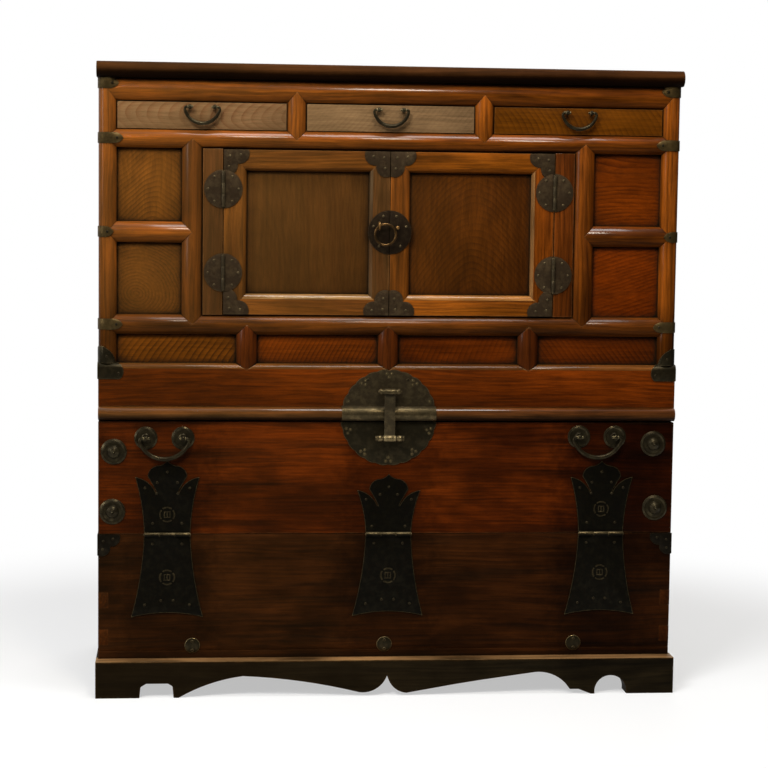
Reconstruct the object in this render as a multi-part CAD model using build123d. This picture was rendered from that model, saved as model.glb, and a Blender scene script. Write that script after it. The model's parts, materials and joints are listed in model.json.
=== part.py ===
from build123d import *
import math
import os

# A Korean two tier chest: a framed cupboard with three drawers over a drop-front chest, on a
# low base with a cusped edge. Millimetres; X to the right, Y to the back, Z up.
# The pieces are drawn with the front plane of the chest at y = 0 and the floor at z = 0. They
# are moved along Y when they are written, so that the origin lies under the middle of the whole.

# --- The case, tier by tier from the floor up ------------------------------------------------
CASE_W = 1043.0            # over the posts and over the boards of the lower chest
CASE_D = 450.0             # from the front plane to the back
BASE_H = 66.0
BASE_T = 40.0              # thickness of the base boards
BASE_REACH = 30.0          # how far the base stands out in front
BASE_SIDE_REACH = 4.0      # and at both sides
BASE_FOOT = 70.0           # length of the feet of the side boards
BASE_ARCH_RISE = 28.0
BASE_BACK_H = 40.0
BOTTOM_T = 14.0
FRONT_BOARD_H = 212.0      # fixed board under the flap
FLAP_H = 203.0
FLAP_LOW_GAP = 0.8         # seam under the flap
FLAP_REST_GAP = 0.3        # between the flap and the edges it closes against
BOARD_T = 22.0             # flap, fixed front board and back of the lower chest
LOWER_SIDE_T = 18.0
MIDDLE_T = 24.5            # board between the tiers; its front edge is a half round
SKIRT_H = 77.0             # wide board at the foot of the cupboard
SKIRT_T = 26.0
LOW_PANEL_H = 52.0
LOWER_RAIL_H = 35.0
DOORWAY_H = 295.0
UPPER_RAIL_H = 33.0
DRAWER_OPENING_H = 49.0
TOP_RAIL_H = 40.0
TOP_T = 28.0
TOP_REACH = 12.0
TOP_SIDE_REACH = 3.0

# --- The framing of the cupboard -------------------------------------------------------------
FRAME_D = 32.0             # depth of posts, rails, muntins and stiles
CROWN = 10.0               # how far their rounded faces bulge
MITRE_D = 14.0             # depth of the pointed part of a joint; behind it the shoulders are square
POST_W = 32.0
MUNTIN_W = 34.0            # between the drawers
LOW_MUNTIN_W = 37.0        # between the low panels
STILE_W = 37.0             # between side cell and doorway
CELL_RAIL_W = 37.0
CELL_RAIL_Z = 146.5        # middle of the cell rail above the lower rail
SETOUT_X = -4.0            # the joiner's middle line lies a little left of the true middle
MUNTIN_X = 168.0           # from the middle line
LOW_MUNTIN_X = 254.5
DOORWAY_HALF_W = 298.0
DOOR_POST_W = 35.5         # flat posts between the stiles and the doorway
PANEL_T = 7.0
PANEL_Y = 17.0             # front of the panels behind the front plane
GROOVE = 5.0               # how far panels and boards are let into the framing
SKIRT_NOSE = 9.0           # rounding of the skirt board's upper edge
SKIRT_TIP = 11.0           # how far the low muntins lap over the skirt board
SHELF_T = 12.0
SHELF_DROP = 2.0           # cupboard floor below the top of the lower rail
BACK_T = 10.0
BACK_INSET = 4.0           # back boards from the back plane
BACK_BOARDS = 3
STOP_LIP = 6.0             # lips on the rails that stop the doors

# --- Joints of the lower chest ---------------------------------------------------------------
FINGER_H = 28.0
FINGER_CENTRES = (25.5, 92.5)          # above the bottom board, in the fixed front board
BACK_FINGER_CENTRES = (25.5, 92.5, 190.0, 290.0, 380.0)

# --- Drawers ---------------------------------------------------------------------------------
DRAWER_FACE = 7.0          # drawer fronts behind the front plane
DRAWER_FRONT_T = 16.0
DRAWER_GAP = 1.2           # around the fronts
DRAWER_LIFT = 0.3          # running gap under a drawer
DRAWER_SIDE_T = 9.0
DRAWER_BOTTOM_T = 6.0
DRAWER_BOTTOM_RISE = 4.0   # bottom above the lower edge of the sides
DRAWER_BOX_H = 38.0
DRAWER_BACK_GAP = 3.0
GUIDE_H = 34.0             # dividers between the drawers
BATTEN_H = 16.0            # battens beside the outer drawers
PULL_SPAN = 44.0           # between the posts of a drawer pull
PULL_RISE = 15.0           # pull posts above the middle of the drawer front
PULL_DROP = 29.0
PULL_WIRE_R = 1.6          # a pull is a crescent, thin at its ends
PULL_BELLY_R = 2.6         # and thick in the middle
PULL_BEND_R = 4.0
PULL_HEAD_R = 4.2
PULL_STEM_R = 2.6
PULL_STANDOFF = 10.0

# --- Doors -----------------------------------------------------------------------------------
DOOR_FACE = 4.0            # faces of doors and door posts behind the front plane
DOOR_T = 20.0
DOOR_GAP = 1.2
HINGE_STILE_W = 41.0
MEETING_STILE_W = 36.0
DOOR_RAIL_W = 37.0
DOOR_ROUND = 9.0           # rounding of the frame's inner edges
DOOR_PANEL_Y = 12.0        # door panel behind the door's face
DOOR_PANEL_T = 5.0
DOOR_HINGE_R = 34.0
DOOR_HINGE_Z = (75.5, 224.0)           # above the foot of the doorway
DOOR_KNUCKLE_R = 3.2
DOOR_PIN_R = 1.4
DOOR_KNUCKLE_H = 62.0
DOOR_IRON = 44.0           # arms of the corner irons
RING_PLATE_R = 39.0
RING_PLATE_Z = 150.0       # above the foot of the doorway
RING_R = 18.7
RING_WIRE_R = 1.5
RING_AT = (-8.7, -3.7)     # middle of the hanging ring from the middle of its plate
EYE_TURN = 125.7           # where on the ring the eye holds it, degrees from +X
EYE_R = 5.9
EYE_WIRE_R = 2.0
EYE_STANDOFF = 11.0
KNOB_AT = (13.2, 8.7)
KNOB_R = 3.5

# --- Ironwork of the lower chest -------------------------------------------------------------
IRON_T = 1.5
STRAP_T = 2.0
STRAP_X = (-398.5, 0.0, 390.0)
STRAP_NOTCH = (75.0, 51.0, 75.0)       # height of the notches above the knuckle
STRAP_HALF_W = 41.0        # at the knuckle
STRAP_FOOT_HALF_W = 64.0
STRAP_LEAF_DROP = 150.0
STRAP_KNUCKLE_R = 4.0
STRAP_PIN_R = 1.8
RUNNING = 0.05             # radial clearance of pins and bails
KNUCKLE_GAP = 0.5          # between neighbouring knuckles
KNUCKLE_CLEAR = 0.3        # between a knuckle and what it lies on
BOSS_AT = ((-494.0, 54.3), (-496.5, 162.3), (484.0, 38.8), (489.5, 156.8))  # x, and below the flap's top
BOSS_PROFILE = (           # radius and height of rim, bead, hollow and pointed dome
    (0.0, 0.0), (23.0, 0.0), (23.0, 1.5), (20.0, 3.5), (17.0, 2.5),
    (12.0, 3.0), (10.0, 6.5), (6.0, 9.5), (3.0, 11.0), (0.0, 15.0),
)
HANDLE_X = (-404.0, 379.5)
HANDLE_BELOW = (29.8, 26.3)            # handle posts below the flap's top
HANDLE_SPAN = 66.0
HANDLE_DROP = 37.0
HANDLE_WIRE_R = 2.0
HANDLE_BELLY_R = 3.0
HANDLE_BEND_R = 5.5
HANDLE_HEAD_R = 5.0
HANDLE_STEM_R = 3.0
HANDLE_STANDOFF = 10.0
ROSETTE_PROFILE = (
    (0.0, 0.0), (20.5, 0.0), (20.5, 1.2), (17.5, 2.8), (14.5, 1.8), (8.0, 2.0), (6.0, 3.5), (0.0, 4.0),
)
LOCK_X = -2.0
LOCK_RISE = 8.2            # middle of the lock plate above the flap's top
LOCK_R = 87.0
LOCK_LOBES = 24
LOCK_SCALLOP = 2.0
HASP_PIVOT_RISE = 48.5     # hasp pivot above the middle of the lock plate
HASP_PIVOT_OUT = 20.0      # hasp pivot in front of the boards
HASP_END_DROP = 36.0       # end of the hasp below the middle of the lock plate
HASP_END_OUT = 24.0
HASP_W = 19.0
HASP_T = 3.0
HASP_EYE_R = 5.0
HASP_PIN_R = 2.0
HASP_END_W = 22.0
LUG_R = 5.5                # balls of the hanger and of the two lugs on the flap
LUG_GAP = 0.8
LUG_STEM_R = 3.0
LOCK_BORE_R = 3.2          # for the bar of a padlock
DISC_PROFILE = ((0.0, 0.0), (14.0, 0.0), (14.0, 0.8), (12.0, 1.8), (0.0, 1.8))
DISC_X = (-353.0, -5.0, 343.5)
DISC_RISE = 9.0            # small discs above the bottom board
FOOT_IRON_SIZE = 38.0      # corner irons of the fixed front board
RAIL_IRON_H = 19.0         # irons on the ends of the rails
RAIL_IRON_LENGTHS = (43.0, 27.0, 44.0, 36.0)        # from the lower rail to the top rail
SKIRT_IRON_LOBE = ((38.0, -28.0), (44.5, -13.0), (31.0, 2.0))      # x from the corner, z from the post's foot
SKIRT_IRON_TIP = ((31.0, 2.0), (21.5, 21.0), (6.0, 30.0))
CUT = 3.0                  # how far irons are drawn past a corner before they are trimmed
FAR = 60.0                 # reach of cutting blocks and rods

# --- The horned end of a strap hinge: x from its middle line, z from the notch -----------------
STRAP_HORN = (57.0, 28.5)
STRAP_HORN_HOLLOW = (41.0, 23.0)
STRAP_SIDE_BULGE = 4.5
STRAP_CLEFT = ((20.5, 0.0), (18.5, 0.5))
STRAP_LOBE = ((25.4, 14.0), (35.0, 30.0), (29.5, 43.0), (15.0, 49.0), (6.0, 52.5), (0.0, 58.0))
STRAP_FLARE = 7.0          # how far the sides of the lower leaf bulge
STRAP_HOLLOW = 8.0         # how far its foot is hollowed

# --- The hand-cut lower edge of the base: x from the middle, z from the floor -------------------
BASE_NOTCH = ((-447.0, 0.0), (-445.0, 20.0), (-435.0, 26.0), (-396.0, 26.0), (-388.0, 21.0), (-386.0, 0.0))
BASE_LEFT_ARCH = ((-377.0, 0.0), (-330.0, 22.0), (-262.0, 38.5))
BASE_LEFT_FALL = ((-262.0, 38.5), (-150.0, 27.0), (-52.0, 7.0))
BASE_CUSP_RISE = ((-52.0, 7.0), (-17.0, 16.0), (-1.0, 39.0))
BASE_CUSP_FALL = ((-1.0, 39.0), (11.0, 15.0), (34.0, 5.0))
BASE_RIGHT_ARCH = ((34.0, 5.0), (140.0, 23.0), (262.0, 40.0))
BASE_RIGHT_FALL = ((262.0, 40.0), (312.0, 31.0), (334.0, 9.0))
BASE_STEP = ((334.0, 9.0), (350.0, 9.0), (373.0, 0.0), (380.0, 0.0))
BASE_ROUND_ARCH = ((380.0, 0.0), (409.0, 34.0), (438.0, 0.0))

# --- Heights worked out from the tiers -------------------------------------------------------
Z_BOTTOM = BASE_H + BOTTOM_T
Z_SEAM = Z_BOTTOM + FRONT_BOARD_H
STRAP_AXIS_Y = -(STRAP_KNUCKLE_R + KNUCKLE_CLEAR)
FLAP_SWING = BOARD_T - STRAP_AXIS_Y                     # reach of the flap's back edge
FLAP_TOP_GAP = FLAP_SWING ** 2 / (2 * FLAP_H) + 0.6     # room to swing under the middle board
Z_FLAP = Z_SEAM + FLAP_LOW_GAP
Z_FLAP_TOP = Z_FLAP + FLAP_H
Z_MIDDLE = Z_FLAP_TOP + FLAP_TOP_GAP
Z_SKIRT = Z_MIDDLE + MIDDLE_T
Z_LOW_PANEL = Z_SKIRT + SKIRT_H
Z_LOWER_RAIL = Z_LOW_PANEL + LOW_PANEL_H
Z_DOORWAY = Z_LOWER_RAIL + LOWER_RAIL_H
Z_UPPER_RAIL = Z_DOORWAY + DOORWAY_H
Z_DRAWERS = Z_UPPER_RAIL + UPPER_RAIL_H
Z_TOP_RAIL = Z_DRAWERS + DRAWER_OPENING_H
Z_TOP_BOARD = Z_TOP_RAIL + TOP_RAIL_H
Z_TOP = Z_TOP_BOARD + TOP_T
LOCK_Z = Z_FLAP_TOP + LOCK_RISE
HASP_PIVOT_Z = LOCK_Z + HASP_PIVOT_RISE
HASP_END_Z = LOCK_Z - HASP_END_DROP

HALF_W = CASE_W / 2
POST_IN = HALF_W - POST_W              # inner faces of the posts
STILE_X = DOORWAY_HALF_W + DOOR_POST_W + STILE_W / 2
Y_BACK_POST = CASE_D - FRAME_D
Y_SHIFT = (BASE_REACH - CASE_D) / 2    # centres the whole over the origin
RAIL_LEVELS = (
    (Z_LOWER_RAIL, LOWER_RAIL_H),
    (Z_UPPER_RAIL, UPPER_RAIL_H),
    (Z_TOP_RAIL, TOP_RAIL_H),
)
Z_CELL_RAIL = Z_DOORWAY + CELL_RAIL_Z
LEFT, RIGHT = -1, 1


# --- Helpers ---------------------------------------------------------------------------------
def block(x0, x1, y0, y1, z0, z1):
    """A straight board between two corners."""
    middle = Pos((x0 + x1) / 2, (y0 + y1) / 2, (z0 + z1) / 2)
    return middle * Box(x1 - x0, y1 - y0, z1 - z0)


def polygon(*points):
    return make_face(Polyline(*points, close=True))


def slab(outline, front, back):
    """An outline drawn in X and Z, solid from y = front to y = back."""
    return extrude(Plane.XZ.offset(-front) * outline, amount=front - back)


def rod_x(x0, x1, y, z, radius):
    return Pos((x0 + x1) / 2, y, z) * Rot(0, 90, 0) * Cylinder(radius, x1 - x0)


def rod_y(x, y0, y1, z, radius):
    return Pos(x, (y0 + y1) / 2, z) * Rot(90, 0, 0) * Cylinder(radius, y1 - y0)


def rod_z(x, y, z0, z1, radius):
    return Pos(x, y, (z0 + z1) / 2) * Cylinder(radius, z1 - z0)


def turned(profile, x, face, z):
    """A turned piece that stands on the face y = face; profile holds radius and height."""
    points = [(radius, -height) for radius, height in profile]
    return Pos(x, face, z) * revolve(polygon(*points), Axis.Y)


def both_sides(piece):
    """The piece and its mirror image on the other side of the chest."""
    return [piece, mirror(piece, about=Plane.YZ)]


# --- Rounded framing with pointed joints -----------------------------------------------------
def crowned(width, crown=CROWN, depth=FRAME_D, skin=0.0):
    """Cross-section of a rail: flat at the back, rounded at the front.

    A skin makes it larger on the face and the sides, for the irons that lie on it."""
    radius = (width ** 2 / 4 + crown ** 2) / (2 * crown)
    half = width / 2 + skin
    start = radius - math.sqrt((radius + skin) ** 2 - half ** 2)
    face = ThreePointArc((-half, start), (0, -skin), (half, start))
    back = Polyline((half, start), (half, depth), (-half, depth), (-half, start))
    return make_face(face + back)


def tip_x(x, z, width, reach):
    """The point at the end of a rail: from the shoulder at x by reach, which has a sign."""
    return slab(polygon((x, z - width / 2), (x + reach, z), (x, z + width / 2)), 0, MITRE_D)


def tip_z(x, z, width, reach):
    return slab(polygon((x - width / 2, z), (x, z + reach), (x + width / 2, z)), 0, MITRE_D)


def rail_x(x0, x1, z, width, left_tip, right_tip):
    """A rail from shoulder to shoulder with a point at each end. Gives rail and points."""
    plane = Plane(origin=(x1 + right_tip, 0, z), x_dir=(0, 0, 1), z_dir=(-1, 0, 0))
    bar = extrude(plane * crowned(width), amount=x1 - x0 + left_tip + right_tip)
    tips = [tip_x(x0, z, width, -left_tip), tip_x(x1, z, width, right_tip)]
    plan = block(x0, x1, 0, FRAME_D, z - width / 2, z + width / 2) + tips
    return bar & plan, tips


def muntin_z(x, z0, z1, width, low_tip, high_tip):
    """An upright from shoulder to shoulder with a point at each end. Gives upright and points."""
    plane = Plane.XY.offset(z0 - low_tip) * Pos(x, 0, 0)
    bar = extrude(plane * crowned(width), amount=z1 - z0 + low_tip + high_tip)
    tips = [tip_z(x, z0, width, -low_tip), tip_z(x, z1, width, high_tip)]
    plan = block(x - width / 2, x + width / 2, 0, FRAME_D, z0, z1) + tips
    return bar & plan, tips


def side_rail(z, width):
    """A rail of the left side, rounded towards the outside, with points into both posts."""
    tip = POST_W / 2
    plane = Plane(origin=(-HALF_W, FRAME_D - tip, z), x_dir=(0, 0, 1), z_dir=(0, 1, 0))
    length = Y_BACK_POST - FRAME_D
    bar = extrude(plane * crowned(width, depth=POST_W), amount=length + 2 * tip)
    outline = polygon(
        (FRAME_D, z - width / 2), (FRAME_D - tip, z), (FRAME_D, z + width / 2),
        (Y_BACK_POST, z + width / 2), (Y_BACK_POST + tip, z), (Y_BACK_POST, z - width / 2),
    )
    points = extrude(Plane.YZ.offset(-HALF_W) * outline, amount=MITRE_D)
    shank = block(-HALF_W, -POST_IN, FRAME_D, Y_BACK_POST, z - width / 2, z + width / 2)
    return bar & (shank + points), points - shank


def minus(piece, cutters):
    for cutter in cutters:
        piece = piece - cutter
    return piece


# --- Panels and boards that are let into the framing ------------------------------------------
def front_panel(x0, x1, z0, z1):
    return block(x0 - GROOVE, x1 + GROOVE, PANEL_Y, PANEL_Y + PANEL_T, z0 - GROOVE, z1 + GROOVE)


def cell_panels():
    inner = STILE_X + STILE_W / 2
    half = CELL_RAIL_W / 2
    sides = ((-POST_IN, SETOUT_X - inner), (SETOUT_X + inner, POST_IN))
    heights = ((Z_DOORWAY, Z_CELL_RAIL - half), (Z_CELL_RAIL + half, Z_UPPER_RAIL))
    return [front_panel(x0, x1, z0, z1) for x0, x1 in sides for z0, z1 in heights]


def low_panels():
    half = LOW_MUNTIN_W / 2
    middles = [SETOUT_X + k * LOW_MUNTIN_X for k in (-1, 0, 1)]
    lefts = [-POST_IN] + [x + half for x in middles]
    rights = [x - half for x in middles] + [POST_IN]
    return [front_panel(x0, x1, Z_LOW_PANEL, Z_LOWER_RAIL) for x0, x1 in zip(lefts, rights)]


def side_panels_left():
    half = CELL_RAIL_W / 2
    heights = (
        (Z_LOW_PANEL, Z_LOWER_RAIL),
        (Z_DOORWAY, Z_CELL_RAIL - half),
        (Z_CELL_RAIL + half, Z_UPPER_RAIL),
        (Z_DRAWERS, Z_TOP_RAIL),
    )
    x0 = -HALF_W + PANEL_Y
    y0 = FRAME_D - GROOVE
    y1 = Y_BACK_POST + GROOVE
    return [block(x0, x0 + PANEL_T, y0, y1, z0 - GROOVE, z1 + GROOVE) for z0, z1 in heights]


def back_boards():
    y0 = CASE_D - BACK_INSET - BACK_T
    half = POST_IN + GROOVE
    height = (Z_TOP_BOARD - Z_SKIRT) / BACK_BOARDS
    bottoms = [Z_SKIRT + k * height for k in range(BACK_BOARDS)]
    return [block(-half, half, y0, y0 + BACK_T, z, z + height) for z in bottoms]


def shelf(top):
    """A board across the whole cupboard, let into the rails and the back."""
    half = POST_IN + GROOVE
    back = CASE_D - BACK_INSET - BACK_T
    return block(-half, half, FRAME_D - GROOVE, back, top - SHELF_T, top)


CUPBOARD_FLOOR = shelf(Z_DOORWAY - SHELF_DROP)
DUST_BOARD = shelf(Z_DRAWERS)
CELL_PANELS = cell_panels()
LOW_PANELS = low_panels()
SIDE_PANELS = [panel for left in side_panels_left() for panel in both_sides(left)]
BACK_BOARDS_SOLIDS = back_boards()
LET_IN = CELL_PANELS + LOW_PANELS + SIDE_PANELS + BACK_BOARDS_SOLIDS + [CUPBOARD_FLOOR, DUST_BOARD]


# --- The front framing -------------------------------------------------------------------------
def front_framing():
    """Rails, muntins, stiles and the points that they let into each other and into the posts."""
    post_tip = POST_W / 2
    upper_half = UPPER_RAIL_H / 2
    lower_half = LOWER_RAIL_H / 2
    top_half = TOP_RAIL_H / 2
    rails = []
    rail_tips = []
    for z, height in RAIL_LEVELS:
        rail, tips = rail_x(-POST_IN, POST_IN, z + height / 2, height, post_tip, post_tip)
        rails.append(rail)
        rail_tips += tips
    muntins = []
    stiles = []
    upright_tips = []
    for side in (LEFT, RIGHT):
        x = SETOUT_X + side * MUNTIN_X
        muntin, tips = muntin_z(x, Z_DRAWERS, Z_TOP_RAIL, MUNTIN_W, upper_half, top_half)
        muntins.append(muntin)
        upright_tips += tips
        x = SETOUT_X + side * STILE_X
        stile, tips = muntin_z(x, Z_DOORWAY, Z_UPPER_RAIL, STILE_W, lower_half, upper_half)
        stiles.append(stile)
        upright_tips += tips
    for k in (-1, 0, 1):
        x = SETOUT_X + k * LOW_MUNTIN_X
        span = (Z_LOW_PANEL, Z_LOWER_RAIL)
        muntin, tips = muntin_z(x, *span, LOW_MUNTIN_W, SKIRT_TIP, lower_half)
        muntins.append(muntin)
        upright_tips += tips
    cell_rails = []
    cell_tips = []
    inner = STILE_X + STILE_W / 2
    for x0, x1, tip0, tip1 in (
        (-POST_IN, SETOUT_X - inner, post_tip, STILE_W / 2),
        (SETOUT_X + inner, POST_IN, STILE_W / 2, post_tip),
    ):
        rail, tips = rail_x(x0, x1, Z_CELL_RAIL, CELL_RAIL_W, tip0, tip1)
        cell_rails.append(rail)
        cell_tips += tips
    return {
        "rails": [minus(rail, upright_tips + LET_IN) for rail in rails],
        "muntins": [minus(muntin, LET_IN) for muntin in muntins],
        "stiles": [minus(stile, cell_tips + LET_IN) for stile in stiles],
        "cell_rails": [minus(rail, LET_IN) for rail in cell_rails],
        "tips_in_posts": rail_tips + cell_tips,
        "tips_in_skirt": upright_tips,
    }


def side_framing():
    levels = RAIL_LEVELS + ((Z_CELL_RAIL - CELL_RAIL_W / 2, CELL_RAIL_W),)
    rails = []
    points = []
    for z, height in levels:
        rail, tips = side_rail(z + height / 2, height)
        rails += both_sides(minus(rail, LET_IN))
        points += both_sides(tips)
    return rails, points


FRONT = front_framing()
SIDE_RAILS, SIDE_POINTS = side_framing()


def front_post(skin=0.0):
    """Left front post: rounded to the front and to the side, standing on the skirt board."""
    width_plane = Plane.XY.offset(Z_LOW_PANEL) * Pos(-HALF_W + POST_W / 2, 0, 0)
    length = Z_TOP_BOARD - Z_LOW_PANEL
    to_front = extrude(width_plane * crowned(POST_W, skin=skin), amount=length)
    origin = (-HALF_W, FRAME_D / 2, Z_LOW_PANEL)
    side_plane = Plane(origin=origin, x_dir=(0, -1, 0), z_dir=(0, 0, 1))
    to_side = extrude(side_plane * crowned(FRAME_D, depth=POST_W, skin=skin), amount=length)
    return to_front & to_side


def back_post():
    """Left back post: rounded to the side only, and standing on the middle board."""
    origin = (-HALF_W, CASE_D - FRAME_D / 2, Z_SKIRT)
    side_plane = Plane(origin=origin, x_dir=(0, -1, 0), z_dir=(0, 0, 1))
    return extrude(side_plane * crowned(FRAME_D, depth=POST_W), amount=Z_TOP_BOARD - Z_SKIRT)


def corner_posts():
    posts = both_sides(front_post()) + both_sides(back_post())
    return [minus(post, FRONT["tips_in_posts"] + SIDE_POINTS + LET_IN) for post in posts]


def door_posts():
    """Flat posts that carry the doors, between stile and doorway."""
    edge = STILE_X - STILE_W / 2
    left = block(-edge, -DOORWAY_HALF_W, DOOR_FACE, FRAME_D, Z_DOORWAY, Z_UPPER_RAIL)
    right = block(DOORWAY_HALF_W, edge, DOOR_FACE, FRAME_D, Z_DOORWAY, Z_UPPER_RAIL)
    return [Pos(SETOUT_X, 0, 0) * left, Pos(SETOUT_X, 0, 0) * right]


def front_rails():
    """Lower, upper and top rail; the first two carry the lips that stop the doors."""
    x0 = SETOUT_X - DOORWAY_HALF_W
    x1 = SETOUT_X + DOORWAY_HALF_W
    y0 = DOOR_FACE + DOOR_T + FLAP_REST_GAP
    low_lip = block(x0, x1, y0, FRAME_D, Z_DOORWAY - SHELF_DROP, Z_DOORWAY + STOP_LIP)
    high_lip = block(x0, x1, y0, FRAME_D, Z_UPPER_RAIL - STOP_LIP, Z_UPPER_RAIL + STOP_LIP)
    lower, upper, top = FRONT["rails"]
    return [lower + low_lip, upper + high_lip, top]


# --- Skirt, boards between and on the tiers ------------------------------------------------------
def front_skirt_board(skin=0.0):
    top = Z_LOW_PANEL + skin
    board = block(-HALF_W - skin, HALF_W + skin, -skin, SKIRT_T, Z_SKIRT, top)
    nose = board.edges().filter_by(Axis.X).group_by(Axis.Z)[-1].sort_by(Axis.Y)[0]
    return fillet(nose, SKIRT_NOSE + skin)


def side_skirt_board(skin=0.0):
    top = Z_LOW_PANEL + skin
    x0 = -HALF_W - skin
    board = block(x0, SKIRT_T - HALF_W, SKIRT_T - skin, Y_BACK_POST, Z_SKIRT, top)
    nose = board.edges().filter_by(Axis.Y).group_by(Axis.Z)[-1].sort_by(Axis.X)[0]
    return fillet(nose, SKIRT_NOSE + skin)


def skirt_front():
    return minus(front_skirt_board(), FRONT["tips_in_skirt"] + LOW_PANELS)


def skirt_sides():
    return both_sides(minus(side_skirt_board(), LET_IN))


def half_round_board(width, reach, back, z, thickness):
    """A board with a half-round front edge."""
    radius = thickness / 2
    start = -reach + radius
    board = block(-width / 2, width / 2, start, back, z, z + thickness)
    return board + rod_x(-width / 2, width / 2, start, z + radius, radius)


def middle_board():
    return half_round_board(CASE_W, MIDDLE_T / 2, CASE_D, Z_MIDDLE, MIDDLE_T)


def top_board():
    width = CASE_W + 2 * TOP_SIDE_REACH
    return half_round_board(width, TOP_REACH, CASE_D, Z_TOP_BOARD, TOP_T)


# --- Lower chest -----------------------------------------------------------------------------
def fingers(x0, x1, y0, y1, centres):
    """The fingers of a side board that pass through the board at its front or back."""
    half = FINGER_H / 2
    return [block(x0, x1, y0, y1, Z_BOTTOM + c - half, Z_BOTTOM + c + half) for c in centres]


def lower_fingers():
    x0 = -HALF_W
    x1 = x0 + LOWER_SIDE_T
    front = fingers(x0, x1, 0, BOARD_T, FINGER_CENTRES)
    back = fingers(x0, x1, CASE_D - BOARD_T, CASE_D, BACK_FINGER_CENTRES)
    return front, back


def lower_sides():
    """Side boards of the lower chest; beside the flap they stand back by its thickness."""
    front, back = lower_fingers()
    x1 = LOWER_SIDE_T - HALF_W
    y1 = CASE_D - BOARD_T
    low = block(-HALF_W, x1, BOARD_T, y1, Z_BOTTOM, Z_SEAM)
    high = block(-HALF_W, x1, BOARD_T + FLAP_REST_GAP, y1, Z_SEAM, Z_MIDDLE)
    side = low + high + front + back
    return both_sides(side)


def lower_front_board():
    front, back = lower_fingers()
    board = block(-HALF_W, HALF_W, 0, BOARD_T, Z_BOTTOM, Z_SEAM)
    return minus(board, [piece for finger in front for piece in both_sides(finger)])


def lower_back_board():
    front, back = lower_fingers()
    board = block(-HALF_W, HALF_W, CASE_D - BOARD_T, CASE_D, Z_BOTTOM, Z_MIDDLE)
    return minus(board, [piece for finger in back for piece in both_sides(finger)])


def bottom_board():
    return block(-HALF_W, HALF_W, 0, CASE_D, BASE_H, Z_BOTTOM)


# --- Base --------------------------------------------------------------------------------------
def base_outline():
    """The hand-cut lower edge of the front base board, from the left foot to the right one."""
    edge = HALF_W + BASE_SIDE_REACH
    first = BASE_NOTCH[0]
    last = BASE_ROUND_ARCH[-1]
    curve = Polyline(*BASE_NOTCH) + Line(BASE_NOTCH[-1], BASE_LEFT_ARCH[0])
    for arc in (BASE_LEFT_ARCH, BASE_LEFT_FALL, BASE_CUSP_RISE, BASE_CUSP_FALL,
                BASE_RIGHT_ARCH, BASE_RIGHT_FALL):
        curve = curve + ThreePointArc(*arc)
    curve = curve + Polyline(*BASE_STEP) + ThreePointArc(*BASE_ROUND_ARCH)
    curve = curve + Polyline(last, (edge, 0), (edge, BASE_H), (-edge, BASE_H), (-edge, 0), first)
    return make_face(curve)


def base_front():
    return slab(base_outline(), -BASE_REACH, BASE_T - BASE_REACH)


def base_sides_and_back():
    """Side boards with a shallow arch between their feet, and a straight back board."""
    outer = HALF_W + BASE_SIDE_REACH
    front = BASE_T - BASE_REACH
    start = (front + BASE_FOOT, 0)
    end = (CASE_D - BASE_FOOT, 0)
    arch = make_face(
        ThreePointArc(start, ((front + CASE_D) / 2, BASE_ARCH_RISE), end) + Line(end, start)
    )
    side = block(-outer, BASE_T - outer, front, CASE_D, 0, BASE_H)
    side = side - extrude(Plane.YZ.offset(-outer) * arch, amount=BASE_T)
    back = block(BASE_T - outer, outer - BASE_T, CASE_D - BASE_T, CASE_D, BASE_H - BASE_BACK_H, BASE_H)
    return both_sides(side) + [back]


# --- Drawers -------------------------------------------------------------------------------------
def drawer_bays():
    half = MUNTIN_W / 2
    return (
        (-POST_IN, SETOUT_X - MUNTIN_X - half),
        (SETOUT_X - MUNTIN_X + half, SETOUT_X + MUNTIN_X - half),
        (SETOUT_X + MUNTIN_X + half, POST_IN),
    )


def drawer_guides():
    """Dividers behind the muntins and battens along both sides, on the dust board."""
    back = CASE_D - BACK_INSET - BACK_T
    batten_x = HALF_W - PANEL_Y - PANEL_T
    top = Z_DRAWERS + BATTEN_H
    pieces = both_sides(block(-batten_x, -POST_IN, FRAME_D, Y_BACK_POST, Z_DRAWERS, top))
    for side in (LEFT, RIGHT):
        x = SETOUT_X + side * MUNTIN_X
        half = MUNTIN_W / 2
        pieces.append(block(x - half, x + half, FRAME_D, back, Z_DRAWERS, Z_DRAWERS + GUIDE_H))
    return pieces


def drawer_front(x0, x1):
    z0 = Z_DRAWERS + DRAWER_LIFT
    z1 = Z_TOP_RAIL - DRAWER_GAP
    y1 = DRAWER_FACE + DRAWER_FRONT_T
    return block(x0 + DRAWER_GAP, x1 - DRAWER_GAP, DRAWER_FACE, y1, z0, z1)


def drawer_box(x0, x1):
    """Two sides, a back and a bottom let into them."""
    left = x0 + DRAWER_GAP
    right = x1 - DRAWER_GAP
    y0 = DRAWER_FACE + DRAWER_FRONT_T
    y1 = CASE_D - BACK_INSET - BACK_T - DRAWER_BACK_GAP
    z0 = Z_DRAWERS + DRAWER_LIFT
    z1 = z0 + DRAWER_BOX_H
    groove = DRAWER_SIDE_T / 2
    low = z0 + DRAWER_BOTTOM_RISE
    bottom = block(left + groove, right - groove, y0, y1 - groove, low, low + DRAWER_BOTTOM_T)
    sides = [
        block(left, left + DRAWER_SIDE_T, y0, y1, z0, z1) - bottom,
        block(right - DRAWER_SIDE_T, right, y0, y1, z0, z1) - bottom,
    ]
    back = block(left + DRAWER_SIDE_T, right - DRAWER_SIDE_T, y1 - DRAWER_SIDE_T, y1, z0, z1) - bottom
    return sides + [back, bottom]


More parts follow.
